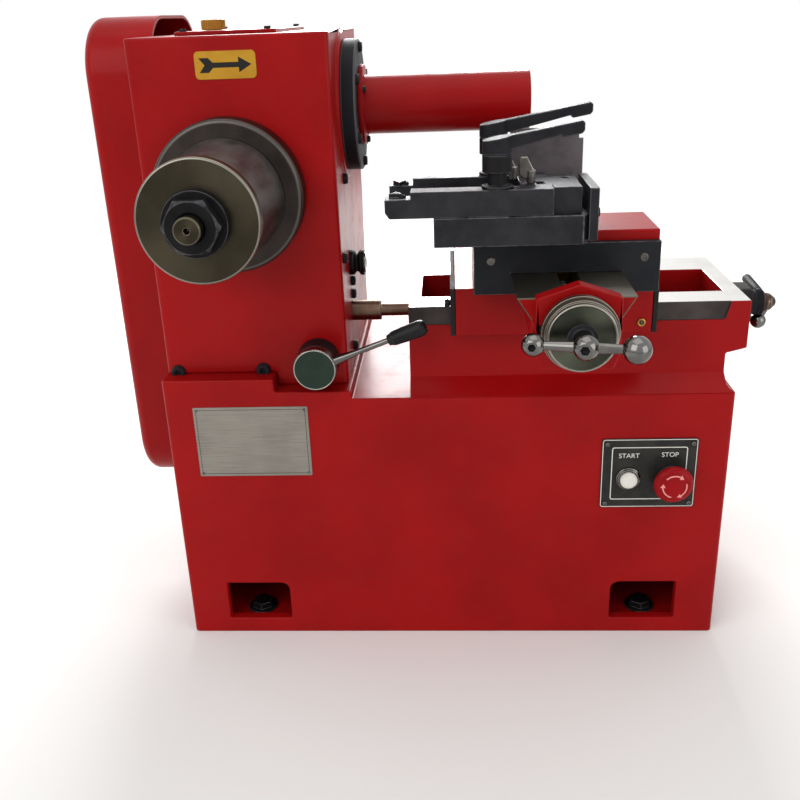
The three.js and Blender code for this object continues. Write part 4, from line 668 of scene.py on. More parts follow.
def cornerRound(node, radius, steps=5):
    low, high = spanOf(node)
    return roundedOutline(low.x, high.x, low.z, high.z, radius, steps)


# Words and numbers as thin raised shapes on the front of a plate
def lettering(name, node, text, size, x, y, z, finish, thickness=0.06):
    curve = bpy.data.curves.new(name, "FONT")
    curve.body, curve.size, curve.extrude = text, size * mm, thickness * mm
    curve.align_x, curve.align_y = "CENTER", "CENTER"
    source = bpy.data.objects.new(name + "Source", curve)
    bpy.context.scene.collection.objects.link(source)
    mesh = bpy.data.meshes.new_from_object(source.evaluated_get(bpy.context.evaluated_depsgraph_get()))
    bpy.data.objects.remove(source)
    mesh.transform(Matrix.Translation(Vector((x, y, z)) * mm) @ Matrix.Rotation(quarter, 4, "X"))
    mesh.materials.clear()
    mesh.materials.append(finish)
    item = bpy.data.objects.new(name, mesh)
    bpy.context.scene.collection.objects.link(item)
    return fit(item, node)


print("helpers ready")


# Gives the faces that pass a test another finish, such as bare ways on a painted casting
def recolour(item, finish, test):
    item.data.materials.append(finish)
    index = len(item.data.materials) - 1
    for face in item.data.polygons:
        if test(face.center / mm, face.normal):
            face.material_index = index
    return item


# Base, bed and their covers
baseSizes = {
    "edge": 1.8, "boltEdge": 0.6, "coverEdge": 0.5, "coverScrew": 4.0, "coverScrewHigh": 1.5, "coverScrewInset": 7.0,
    "bedEdge": 1.2, "stripFront": -129.0, "stripHigh": 18.2, "stripDepth": 1.4, "stripEnd": 19.0, "stripSlant": 4.6,
    "troughScrewIn": 18.0, "troughScrewY": -77.0, "troughScrewUp": 7.0,
}


def dressBase():
    softened("base_casting", baseSizes["edge"], red)
    for side in ("right", "left"):
        softened("foot_bolt_" + side, baseSizes["boltEdge"], black)
    low, high = spanOf("base_rear_cover")
    inset, sheet = baseSizes["coverScrewInset"], high.y - baseSizes["coverScrewHigh"]
    softened("base_rear_cover", baseSizes["coverEdge"], red, reshape=lambda at: Vector((at.x, min(at.y, sheet), at.z)))
    columns = (low.x + inset, (low.x + high.x) / 2, high.x - inset)
    places = [(x, sheet, z) for x in columns for z in (low.z + inset, high.z - inset)]
    screwHigh = baseSizes["coverScrewHigh"] - 0.05
    screws("rear_cover_screws", "base_rear_cover", places, "back", baseSizes["coverScrew"], screwHigh)
    end, top = highOf("bed").x, highOf("bed").z
    stripFront, stripLow = baseSizes["stripFront"], top - baseSizes["stripHigh"]

    def slanted(at):
        atEnd = at.y < stripFront + 4 and abs(at.z - stripLow) < 1.2 and end - 26 < at.x < end - 8
        return at - Vector((baseSizes["stripSlant"], 0, 0)) if atEnd else at

    def onStrip(at, normal):
        return at.z > stripLow and at.y < stripFront + baseSizes["stripDepth"] and at.x < end - baseSizes["stripEnd"]

    bed = softened("bed", baseSizes["bedEdge"], red, reshape=slanted)
    recolour(bed, wayTop, lambda at, normal: at.z > top - 0.6 and normal.z > 0.9)
    recolour(bed, iron, onStrip)
    place = (end - baseSizes["troughScrewIn"], baseSizes["troughScrewY"], top - baseSizes["troughScrewUp"])
    screws("trough_screw", "bed", [place], "left", 2.6, 1.6)


print("dressing the base and bed")
dressBase()

# Headstock and its top cover; screw places are [x, z] on the front and [y, z] on the right side
headSizes = {
    "edge": 2.0, "coverEdge": 0.8, "front": -129.0, "right": -96.5, "footScrewSink": 1.2, "topScrewInset": 8.0,
    "footScrews": [(-266.5, 299.0), (-180.5, 299.9)],
    "sideScrews": [(-112, 407), (-50, 368), (-50, 354), (-70, 476), (-62, 301)],
}


def dressHeadstock():
    softened("headstock", headSizes["edge"], red)
    places = [(x, headSizes["front"] + headSizes["footScrewSink"], z) for x, z in headSizes["footScrews"]]
    screws("headstock_foot_screws", "headstock", places, "front", 7.0, 6.4)
    places = [(headSizes["right"], y, z) for y, z in headSizes["sideScrews"]]
    screws("headstock_side_screws", "headstock", places, "right", 5.2, 4.6)
    softened("headstock_top_cover", headSizes["coverEdge"], red)
    low, high = spanOf("headstock_top_cover")
    inset = headSizes["topScrewInset"]
    places = [(x, y, high.z) for x in (low.x + inset, high.x - inset) for y in (low.y + inset, high.y - inset)]
    screws("top_cover_screws", "headstock_top_cover", places, "up", 3.2, 2.4)


fillerSizes = {"radius": 10.7, "plug": 7.0, "knurls": 34, "knurlHigh": 1.44, "knurlWide": 1.1}


def dressFillerCap():
    (low, high), middle = spanOf("filler_cap"), middleOf("filler_cap")
    seat = highOf("headstock_top_cover").z + 0.3
    radius, plug = fillerSizes["radius"], fillerSizes["plug"]
    turnedPiece("filler_cap_head", "filler_cap", "z", [
        (low.z, plug), (seat, plug), (seat, radius), (high.z - 0.8, radius), (high.z - 0.2, radius - 3),
        (high.z - 1.2, radius - 4.5)], (middle.x, middle.y, 0), yellow, "filler_cap", ease=0.7)
    ring("filler_cap_knurls", "filler_cap", (middle.x, middle.y, seat + 0.4), "up", yellow, fillerSizes["knurls"],
         radius - 0.1, fillerSizes["knurlHigh"], fillerSizes["knurlWide"], high.z - seat - 1.6)


print("dressing the headstock")
dressHeadstock()
dressFillerCap()

# Disc spindle line: cap, cone, face plate, washer, nut and spindle end, all turned round one axis along Y
discSizes = {
    "capEase": 1.4, "coneRim": 4.0, "coneSmall": 33.0, "plateRim": 1.2, "nutCorner": 24.5, "boreGap": 0.3,
    "shaft": 20.0, "seat": 17.0, "nose": 15.0, "end": 11.1, "centre": 2.7, "shoulderY": -155.0, "noseEndY": -271.0,
}


def dressDiscLine():
    axis = middleOf("face_plate")
    centre = (axis.x, 0, axis.z)
    capSteel = turnedSteel("capSteel", centre, "y", srgb(50, 45, 43), srgb(66, 59, 55), 0.32, 0.8, 0.35,
                           worn=srgb(92, 88, 84))
    coneSteel = turnedSteel("coneSteel", centre, "y", srgb(90, 89, 88), srgb(120, 118, 116), 0.3, 0.7, 0.4, along=True,
                            worn=srgb(150, 146, 140))
    # The face plate and the spindle end carry a painted sheen: lighter sectors round the axis
    plateSteel = turnedSteel("plateSteel", centre, "y", srgb(50, 46, 37), srgb(64, 58, 46), 0.25, 0.9, 0.45,
                             worn=srgb(150, 146, 136), paintedSheen=0.4)
    endSteel = turnedSteel("spindleEnd", centre, "y", srgb(56, 51, 40), srgb(42, 38, 31), 0.3, 0.5, 0.4,
                           worn=srgb(120, 114, 100), paintedSheen=0.26)
    gap = discSizes["boreGap"]
    shaftBore, noseBore = discSizes["shaft"] + gap, discSizes["nose"] + gap

    def discPiece(name, node, shape, finish, ease, bore):
        low, high = spanOf(node)
        profile = shape(low.y, high.y, (high.x - low.x) / 2)
        turnedPiece(name, node, "y", profile, centre, finish, node, ease=ease, bore=bore)

    small, coneRim, rim = picked(discSizes, "coneSmall coneRim plateRim")
    discPiece("disc_cap_dressed", "disc_bearing_cap", lambda front, back, radius: [
        (front, radius - 2.5), (front + 2.5, radius), (back, radius)], capSteel, discSizes["capEase"], shaftBore)
    discPiece("cone_dressed", "cone_adaptor", lambda front, back, radius: [
        (front, small), (front + coneRim, small), (back - coneRim, radius), (back, radius)], coneSteel, 0.8, noseBore)
    discPiece("face_plate_dressed", "face_plate", lambda front, back, radius: [
        (front, radius - rim), (front + rim, radius), (back - rim, radius), (back, radius - rim)],
        plateSteel, 0.7, noseBore)
    discPiece("washer_dressed", "clamp_washer", lambda front, back, radius: [
        (front, radius), (back, radius)], black, 0.7, noseBore)
    dressNut(centre)
    dressDiscSpindle(centre, endSteel)


# The nut: a hexagon whose front corners are turned away, and a plain bore
def dressNut(centre):
    low, high = spanOf("spindle_nut")
    corner = discSizes["nutCorner"]
    flat, bore = corner * math.cos(math.pi / 6), discSizes["end"] + discSizes["boreGap"]
    angles = [2 * math.pi * i / 72 for i in range(72)]

    def around(y, reachAt):
        return [(centre[0] + reachAt(angle) * math.cos(angle), y, centre[2] + reachAt(angle) * math.sin(angle))
                for angle in angles]

    rows = []
    for y, limit in ((low.y, flat - 0.9), (low.y + 1.1, flat + 0.6), (low.y + 2.6, corner), (high.y, corner)):
        rows.append(around(y, lambda angle: min(flat / math.cos(angle % (math.pi / 3) - math.pi / 6), limit)))
    for y, reach in ((high.y, bore), (low.y + 0.8, bore), (low.y, bore + 1.2)):
        rows.append(around(y, lambda angle: reach))
    work = bmesh.new()
    faces = bridged(work, [[work.verts.new(point) for point in row] for row in rows])
    bmesh.ops.recalc_face_normals(work, faces=faces)
    markEdges(work, faces[:2 * len(angles)])
    fit(weighted(objectFrom("nut_dressed", work, black, 25)), "spindle_nut", "spindle_nut")


def dressDiscSpindle(centre, endSteel):
    low, high = spanOf("disc_spindle")
    end, nose, shaft, inner, shoulder, noseEnd = picked(discSizes, "end nose shaft seat shoulderY noseEndY")
    seat = high.y - 12
    turnedPiece("disc_spindle_shaft", "disc_spindle", "y", [
        (low.y + 4.5, 0.6), (low.y, discSizes["centre"]), (low.y, end - 0.9), (low.y + 0.9, end), (noseEnd, end),
        (noseEnd, nose), (shoulder, nose), (shoulder, shaft), (seat, shaft), (seat, inner), (high.y, inner)],
        centre, endSteel, "disc_spindle", ease=0.3)
    for name, level, width, outer, root, teeth, finish in (("worm_wheel", "worm_shaft", 24, 50.4, 44, 20, brass),
                                                           ("disc_gear", "drum_spindle", 20, 33.1, 28, 12, endSteel)):
        front, back = middleOf(level).y - width / 2, middleOf(level).y + width / 2
        turnedPiece(name + "_rim", "disc_spindle", "y", [(front, root), (back, root)], centre, finish,
                    ease=0.5, bore=shaft + 0.05)
        ring(name + "_teeth", "disc_spindle", (centre[0], back, centre[2]), "front", finish, teeth,
             (outer + root) / 2 - 0.3, outer - root, root * 2 * math.pi / teeth * 0.42, width)


print("turning the disc spindle line")
dressDiscLine()

# Drum side: bearing cap, closed guard tube and the arbor inside it
drumSizes = {
    "capEase": 1.4, "capBore": 13.8, "capScrews": 54.0, "flange": 38.0, "flangeThick": 4.5, "tube": 28.0, "wall": 3.0,
    "flangeScrews": 33.0, "shaftEdge": 0.3,
}


# Places on a circle round an axis along X
def circled(x, middle, radius, start, count):
    angles = [math.radians(start + 360 / count * index) for index in range(count)]
    return [(x, middle.y + radius * math.cos(angle), middle.z + radius * math.sin(angle)) for angle in angles]


def dressDrumSide():
    (low, high), middle = spanOf("drum_bearing_cap"), middleOf("drum_bearing_cap")
    centre = (0, middle.y, middle.z)
    radius = (high.y - low.y) / 2
    capBlack = turnedSteel("drumCapBlack", centre, "x", srgb(20, 21, 26), srgb(30, 31, 36), 0.44, 0.9, 0.2, 0.1,
                           worn=srgb(96, 94, 96), specular=0.12)
    turnedPiece("drum_cap_dressed", "drum_bearing_cap", "x", [
        (low.x, radius), (high.x - 1.2, radius), (high.x, radius - 1.2)], centre, capBlack, "drum_bearing_cap",
        ease=drumSizes["capEase"], bore=drumSizes["capBore"])
    screws("drum_cap_screws", "drum_bearing_cap", circled(high.x - 1.4, middle, drumSizes["capScrews"], 30, 6),
           "right", 5.0, 4.6)
    low, high = spanOf("guard_tube")
    tube, flange, shoulder = drumSizes["tube"], drumSizes["flange"], low.x + drumSizes["flangeThick"]
    inside, endWall = tube - drumSizes["wall"], high.x - drumSizes["wall"]
    turnedPiece("guard_tube_dressed", "guard_tube", "x", [
        (low.x, inside), (low.x, flange), (shoulder, flange), (shoulder, tube), (high.x, tube), (high.x, 0),
        (endWall, 0), (endWall, inside)], centre, red, "guard_tube", ease=0.9, bore="closed")
    screws("guard_flange_screws", "guard_tube", circled(shoulder, middle, drumSizes["flangeScrews"], 150, 3),
           "right", 3.2, 2.8)
    for node in ("drum_spindle", "worm_shaft"):
        softened(node, drumSizes["shaftEdge"], greyStud, steps=1)


coverSizes = {"edge": 12.0, "corner": 55.0, "wall": 3.0, "cornerSteps": 14, "edgeSteps": 8}


# Belt cover: outlines with round corners, drawn in along a round edge, inside and then outside
def dressBeltCover():
    low, high = spanOf("belt_cover")
    edge, corner, edgeSteps = picked(coverSizes, "edge corner edgeSteps")
    angles = [quarter * step / edgeSteps for step in range(edgeSteps + 1)]

    def skin(inset):
        radius = edge - inset
        return [(high.x, inset)] + [(low.x + edge - radius * math.sin(a), edge - radius * math.cos(a)) for a in angles]

    work = bmesh.new()
    rings = []
    for x, inset in skin(coverSizes["wall"])[::-1] + skin(0):
        outline = roundedOutline(low.y + inset, high.y - inset, low.z + inset, high.z - inset, corner - inset,
                                 coverSizes["cornerSteps"])
        rings.append([work.verts.new((x, y, z)) for y, z in outline])
    bridged(work, rings, closed=False)
    work.faces.new(rings[0])
    work.faces.new(rings[-1])
    bmesh.ops.recalc_face_normals(work, faces=work.faces)
    fit(weighted(objectFrom("belt_cover_dressed", work, red, 50)), "belt_cover", "belt_cover")


# Pieces that are mostly hidden keep the CAD's mesh and only get a finish
def finishHidden():
    for node, finish in (("drive_belt", rubber), ("motor_body", rawIron), ("motor_mount", rawIron),
                         ("motor_shaft", greyStud), ("leadscrew_nut", brass), ("cross_nut", brass)):
        mesh = nodeMeshes[node].data
        mesh.materials.clear()
        mesh.materials.append(finish)


print("dressing the drum side and belt cover")
dressDrumSide()
dressBeltCover()
finishHidden()

# Feed: leadscrew with its thread, spool, end bracket, dial, crank and grip
feedSizes = {
    "thread": 6.5, "core": 5.7, "pitch": 4.0, "sleeve": 10.5, "sleeveStart": -96.2, "sleeveEnd": -66.0,
    "troughStart": -20.0, "troughEnd": 272.0, "end": 312.0, "boss": 4.0, "bracketEdge": 1.4, "dialRim": 12.4,
    "dial": 13.0, "dialBore": 4.3,
    "knurls": 60, "ball": 8.0, "armReach": 21.0, "armRadius": 3.6, "armLean": 17.0,
}


def dressFeed():
    axis = middleOf("feed_dial")
    centre = (0, axis.y, axis.z)
    bar = turnedSteel("leadscrewBar", centre, "x", srgb(128, 104, 88), srgb(84, 66, 56), 0.28, 0.6, 0.4, along=True,
                      worn=srgb(184, 166, 150))
    dressLeadscrew(axis, centre, bar)
    (low, high), spool = spanOf("feed_spool"), middleOf("feed_spool")
    spoolCentre = (0, spool.y, spool.z)
    start = feedSizes["sleeveStart"]
    turnedPiece("feed_spool_dressed", "feed_spool", "x", [
        (low.x, 5), (start, 5), (start, 13), (-92.4, 13), (-89.4, 9.5), (-87.8, 9.5), (-85.2, 13), (high.x, 13)],
        spoolCentre, black, "feed_spool", ease=0.5)
    capShape = [(-2.4, 10.2), (1.4, 10.2), (1.4, 6.4), (0.3, 6.0)]
    turnedPiece("feed_spool_cap", "feed_spool", "x", shifted(high.x, capShape), spoolCentre, chrome, ease=0.4)
    softened("feed_end_bracket", feedSizes["bracketEdge"], rawIron)
    low, high = spanOf("feed_dial")
    rim, radius = feedSizes["dialRim"], feedSizes["dial"]
    turnedPiece("feed_dial_dressed", "feed_dial", "x", [
        (low.x, rim), (low.x + 6, rim), (low.x + 6, radius), (high.x, radius)], centre, satinBlack, "feed_dial",
        ease=0.7, bore=feedSizes["dialBore"])
    ring("feed_dial_knurl", "feed_dial", (low.x + 6.8, axis.y, axis.z), "right", satinBlack, feedSizes["knurls"],
         radius, 0.9, 0.75, high.x - low.x - 7.6)
    dressCrank(axis, high.x)


def dressLeadscrew(axis, centre, finish):
    low, high = spanOf("leadscrew")
    thick, core, sleeve, boss = picked(feedSizes, "thread core sleeve boss")
    start, sleeveEnd, troughStart, troughEnd, end = picked(feedSizes, "sleeveStart sleeveEnd troughStart troughEnd end")
    turnedPiece("leadscrew_bar", "leadscrew", "x", [
        (low.x, thick), (start, thick), (start, sleeve), (sleeveEnd, sleeve), (sleeveEnd, thick), (troughStart, thick),
        (troughStart, core), (troughEnd, core), (troughEnd, thick), (end, thick), (end, boss), (high.x, boss)],
        centre, finish, "leadscrew", ease=0.8, sides=64)
    threadOn("leadscrew_thread", "leadscrew", (troughStart + 2, axis.y, axis.z), "right", finish, core,
             troughEnd - troughStart - 4, feedSizes["pitch"], thick - core)


def ballAt(work, radius, centre, segments=40):
    made = bmesh.ops.create_uvsphere(work, u_segments=segments, v_segments=segments // 2, radius=radius)
    bmesh.ops.translate(work, verts=made["verts"], vec=centre)


# A tapered bar between two points
def barBetween(work, start, end, radius, endRadius, sides=40, ease=0.5):
    reach = end - start
    before = set(work.verts)
    turn(work, "z", [(0, radius), (reach.length, endRadius)], (0, 0, 0), ease, sides)
    fresh = [vert for vert in work.verts if vert not in before]
    bmesh.ops.rotate(work, verts=fresh, cent=(0, 0, 0), matrix=reach.to_track_quat("Z", "Y").to_matrix())
    bmesh.ops.translate(work, verts=fresh, vec=start)


def dressCrank(axis, face):
    lean = math.radians(feedSizes["armLean"])
    hub = Vector((face + 5.0, axis.y, axis.z))
    ball = hub + Vector((-math.sin(lean), 0, -math.cos(lean))) * feedSizes["armReach"]
    work = bmesh.new()
    hubShape = [(0.5, 9.1), (5.0, 9.5), (8.6, 8.4), (12.2, 5.2), (13.9, 3.6)]
    turn(work, "x", shifted(face, hubShape), (0, axis.y, axis.z), 1.2, 56)
    fit(objectFrom("feed_crank_hub", work, brownSteel), "feed_crank", "feed_crank")
    work = bmesh.new()
    barBetween(work, hub + Vector((1.5, 0, -3)), ball, feedSizes["armRadius"], feedSizes["armRadius"] - 0.5)
    ballAt(work, feedSizes["ball"], ball)
    fit(objectFrom("feed_crank_ball", work, chrome), "feed_crank")
    low, high = spanOf("feed_crank_grip")
    start, end = Vector((hub.x, low.y + 0.4, hub.z + 3)), Vector((hub.x, high.y - 0.2, hub.z + 6))
    middle = start.lerp(end, 0.28)
    work = bmesh.new()
    barBetween(work, start, middle, 3.6, 3.9)
    barBetween(work, middle, end, 4.2, 5.0, ease=1.6)
    fit(objectFrom("feed_grip_dressed", work, satinBlack), "feed_crank_grip", "feed_crank_grip")


print("dressing the feed")
dressFeed()

# Saddle, cross slide and their screws
saddleSizes = {
    "edge": 1.2, "wiperEdge": 0.5, "slideEdge": 1.6, "plateEdge": 0.7, "wayHigh": 20.0, "wayHalf": 9.5,
    "topStrip": 98.0, "oiler": (185.6, -149.0, 347.7), "knob": (0, -140, 368), "plateScrews": [(44, 415), (180, 415.5)],
}


def dressSaddle():
    top, middle = lowOf("cross_slide").z - 0.3, middleOf("cross_dial").x
    wayHigh, wayHalf = saddleSizes["wayHigh"], saddleSizes["wayHalf"]

    def onWay(at, normal):
        beside = at.z > top - wayHigh and abs(normal.y) < 0.3 and abs(at.x - middle) < wayHalf
        return at.z > top + 0.5 or beside

    saddle = softened("saddle", saddleSizes["edge"], red)
    recolour(saddle, brushed("dovetailGrey", srgb(104, 100, 88), srgb(80, 77, 68), 0.3), onWay)
    for node in ("way_wiper_left", "way_wiper_right"):
        softened(node, saddleSizes["wiperEdge"], rubber)
    oiler = Vector(saddleSizes["oiler"])
    ringShape = [(-0.2, 2.6), (-0.8, 3.0), (-0.5, 3.8), (1.6, 3.8)]
    turnedPiece("saddle_oiler_ring", "saddle", "y", shifted(oiler.y, ringShape), (oiler.x, 0, oiler.z), brass,
                ease=0.2, sides=40, bore=2.2)
    work = bmesh.new()
    ballAt(work, 1.7, oiler + Vector((0, 0.9, 0)), 20)
    fit(objectFrom("saddle_oiler_ball", work, greyStud), "saddle")
    low, high = spanOf("way_wiper_left")
    outline = roundedOutline(low.x + 0.3, high.x, high.z - 12, high.z - 0.2, 1.0, 2)
    prismPiece("wiper_top_strip", "way_wiper_left", outline, "y", high.y + 0.2, high.y + saddleSizes["topStrip"],
               rubber, ease=0.4)
    work = bmesh.new()
    turn(work, "x", shifted(low.x, [(-5.5, 3.4), (-2.0, 4.2), (0.2, 2.4)]), saddleSizes["knob"], 0.6, 32)
    fit(objectFrom("gib_lock_knob", work, satinBlack), "saddle")


def dressCrossSlide():
    softened("cross_slide", saddleSizes["slideEdge"], red)
    softened("slide_front_plate", saddleSizes["plateEdge"], plateBlack)
    front = lowOf("slide_front_plate").y + 0.6
    places = [(x, front, z) for x, z in saddleSizes["plateScrews"]]
    screws("front_plate_screws", "slide_front_plate", places, "front", 3.9, 1.4, greyStud)


# Bracket, dial and the three-ball handle on the cross screw
crossSizes = {
    "bracketEdge": 1.4, "sinkScrew": 3.9, "sinkScrewApart": 29.1, "sinkDepth": 3.0, "screwEnd": 6.0, "screwCore": 5.8,
    "threadStart": -54.0, "threadEnd": -226.0, "pitch": 4.0, "ridge": 0.8, "face": 28.3, "middle": 29.9, "radius": 31.7,
    "collar": 25.0, "bore": 6.3, "marks": 80, "markEvery": 10, "handleLean": 12.0, "reach": 19.95, "smallBall": 9.4,
    "middleBall": 10.6, "largeBall": 11.4, "smallReach": 41.0, "largeReach": 38.5, "armRoot": 4.6, "armTip": 3.6,
    "socket": 4.0, "flatMiddle": 5.8, "flatSmall": 4.6,
}


def dressCrossScrew():
    axis = middleOf("cross_dial")
    centre = (axis.x, 0, axis.z)
    softened("screw_bracket", crossSizes["bracketEdge"], red)
    front, apart = lowOf("screw_bracket").y + crossSizes["sinkDepth"], crossSizes["sinkScrewApart"]
    places = [(axis.x + side * apart, front, axis.z) for side in (-1, 1)]
    screws("bracket_screws", "screw_bracket", places, "front", crossSizes["sinkScrew"], 2.6)
    low, high = spanOf("cross_screw")
    thick, core, start, end = picked(crossSizes, "screwEnd screwCore threadStart threadEnd")
    turnedPiece("cross_screw_bar", "cross_screw", "y", [
        (low.y, thick), (end, thick), (end, core), (start, core), (start, thick), (high.y, thick)],
        centre, greyStud, "cross_screw", ease=0.3, sides=48)
    threadOn("cross_screw_thread", "cross_screw", (axis.x, start - 2, axis.z), "front", greyStud, core, start - end - 4,
             crossSizes["pitch"], crossSizes["ridge"])
    dressDial(axis, centre)
    dressHandle(axis)


def dressDial(axis, centre):
    low, high = spanOf("cross_dial")
    face, middle, radius, collar = picked(crossSizes, "face middle radius collar")
    dialSteel = turnedSteel("dialSteel", centre, "y", srgb(112, 103, 90), srgb(86, 79, 69), 0.26, 2.2, 0.12,
                            worn=srgb(176, 172, 162))
    # The dial face carries a painted sheen: lighter sectors round the axis
    faceGreen = turnedSteel("dialFace", centre, "y", srgb(66, 68, 58), srgb(48, 50, 44), 0.18, 1.6, 0.1, paintedSheen=0.4)
    faceEnd, middleEnd, rimBack = low.y + 5.5, low.y + 11.5, low.y + 19.5
    faceShape = [(0.7, 12.0), (0.7, face - 1.9), (0, face - 1.3), (0, face - 0.6), (0.6, face)]
    dial = turnedPiece("cross_dial_dressed", "cross_dial", "y", shifted(low.y, faceShape) + [
        (faceEnd, face), (faceEnd, middle), (middleEnd - 1.0, middle), (middleEnd - 1.0, middle - 0.9),
        (middleEnd, middle - 0.9), (middleEnd, radius), (rimBack - 1.6, radius), (rimBack - 1.6, radius - 0.6),
        (rimBack, radius - 0.6), (rimBack, collar), (high.y, collar)],
        centre, dialSteel, "cross_dial", ease=0.35, sides=112, bore=crossSizes["bore"])

    def onFace(at, normal):
        return at.y < low.y + 0.9 and math.hypot(at.x - axis.x, at.z - axis.z) < face - 1.8

    recolour(dial, faceGreen, onFace)
    ring("cross_dial_marks", "cross_dial", (axis.x, rimBack - 2.0, axis.z), "front", engraved, crossSizes["marks"],
         radius - 0.02, 0.12, 0.4, 2.6, crossSizes["markEvery"], 1.7)
    nutShape = [(-1.8, 8.8), (-0.6, 12.6), (1.8, 12.6)]
    turnedPiece("cross_dial_nut", "cross_dial", "y", shifted(low.y, nutShape), centre, satinBlack, ease=0.5, sides=48,
                bore=crossSizes["bore"])


# Part of a ball's outline, from one angle to another
def arcOf(centre, radius, start, end, steps=20):
    angles = [start + (end - start) * step / steps for step in range(steps + 1)]
    return [(centre - radius * math.cos(angle), radius * math.sin(angle)) for angle in angles]


def dressHandle(axis):
    small, middle, large, root, tip = picked(crossSizes, "smallBall middleBall largeBall armRoot armTip")
    smallAt, largeAt = -crossSizes["smallReach"], crossSizes["largeReach"]
    profile = arcOf(smallAt, small, 0.02, math.pi - math.asin(tip / small))
    profile += arcOf(0, middle, math.asin(root / middle), math.pi - math.asin(root / middle))
    profile += arcOf(largeAt, large, math.asin(tip / large), math.pi - 0.02)
    work = bmesh.new()
    turn(work, "x", profile, (0, 0, 0), 0.0, 64)
    bar = objectFrom("cross_handle_bar", work, chrome, 60)
    flats, sockets = bmesh.new(), bmesh.new()
    for at, radius, flat in ((0, middle, crossSizes["flatMiddle"]), (smallAt, small, crossSizes["flatSmall"])):
        seat, socket = -math.sqrt(radius ** 2 - flat ** 2), min(crossSizes["socket"], flat - 1.2)
        turn(flats, "y", [(-radius - 4, flat + 1.0), (seat, flat)], (at, 0, 0), 0.0, 48)
        turn(sockets, "y", [(-radius - 4, socket), (4 - radius, socket), (5.6 - radius, 0.3)], (at, 0, 0), 0.0, 6)
    for cutterMesh, finish in ((flats, chrome), (sockets, satinBlack)):
        cutter = objectFrom("socketCutter", cutterMesh, finish)
        boolean = bar.modifiers.new("sockets", "BOOLEAN")
        boolean.object, boolean.operation, boolean.solver = cutter, "DIFFERENCE", "EXACT"
        boolean.material_mode = "TRANSFER"
        applied(bar)
        bpy.data.objects.remove(cutter)
    face = lowOf("cross_dial").y
    middleY = face - crossSizes["reach"]
    leaning = Matrix.Rotation(math.radians(-crossSizes["handleLean"]), 4, "Z")
    bar.data.transform(Matrix.Translation(Vector((axis.x, middleY, axis.z)) * mm) @ leaning)
    bar.data.set_sharp_from_angle(angle=math.radians(50))
    fit(bar, "cross_ball_handle", "cross_ball_handle")
    turnedPiece("cross_handle_hub", "cross_ball_handle", "y", [
        (middleY + 3, 6.8), (face - 3.4, 7.5), (face - 1.9, 7.5)], (axis.x, 0, axis.z), chrome, ease=0.6, sides=48)


print("dressing the saddle and cross slide")
dressSaddle()
dressCrossSlide()
dressCrossScrew()

# Tool slide: base, bars, clamps, end plate, guard and lock screws
toolSizes = {
    "edge": 0.6, "leverEdge": 0.9, "postEase": 0.8, "noseBack": 3.6, "noseUp": 5.2, "endThick": 7.7, "endFront": -218.0,
    "endRear": -139.0, "endLow": 442.0, "endScrews": (-207.0, -150.0), "armSlope": 0.17, "armRoot": 11.0,
    "armThick": 7.6, "rootHalf": 7.0, "armHalf": 4.3, "tipThick": 10.2, "tipLong": 17.5, "hub": 12.5, "hubHigh": 13.0,
    "stud": 6.0,
    "washer": 13.0, "washerHigh": 2.7, "post": 8.0, "nut": 12.5, "nutHigh": 14.0, "nutDown": 12.7, "postTop": 5.0,
}


def dressToolSlide():
    for node, finish, edge in (("tool_slide_base", charcoal, 0.9), ("tool_middle_block", charcoal, toolSizes["edge"]),
                               ("chip_guard", guardSteel, 0.5)):
        softened(node, edge, finish)
    dressEndPlate()
    for name in ("front", "rear"):
        dressClamp(name)
        dressLockScrew(name)
        dressToolBar(name)


# Tool bar: the tip's eased corner is moved to give a squarer nose
def dressToolBar(name):
    node = "tool_bar_" + name
    low, high = spanOf(node)

    def squarer(at):
        if at.x < low.x + 0.1 and at.z < low.z + 12:
            return Vector((at.x, at.y, low.z + toolSizes["noseUp"]))
        if at.z < low.z + 0.1 and at.x < low.x + 12:
            return Vector((low.x + toolSizes["noseBack"], at.y, at.z))
        return at

    softened(node, toolSizes["edge"], charcoal, reshape=squarer)
    screws("tip_screw_" + name, node, [(low.x + 14.5, (low.y + high.y) / 2, high.z - 6.2)], "up", 3.1, 2.2)


# Thin plate over the whole right end of the tool slide, with its two screws
def dressEndPlate():
    low, high = spanOf("tool_end_plate")
    right, bottom = low.x + toolSizes["endThick"], toolSizes["endLow"]
    outline = roundedOutline(toolSizes["endFront"], toolSizes["endRear"], bottom, high.z, 0.8, 2)
    prismPiece("tool_end_plate_dressed", "tool_end_plate", outline, "x", low.x, right, charcoal, "tool_end_plate",
               ease=toolSizes["edge"], steps=3)
    places = [(right, y, (bottom + high.z) / 2) for y in toolSizes["endScrews"]]
    screws("end_plate_screws", "tool_end_plate", places, "right", 4.2, 2.2)


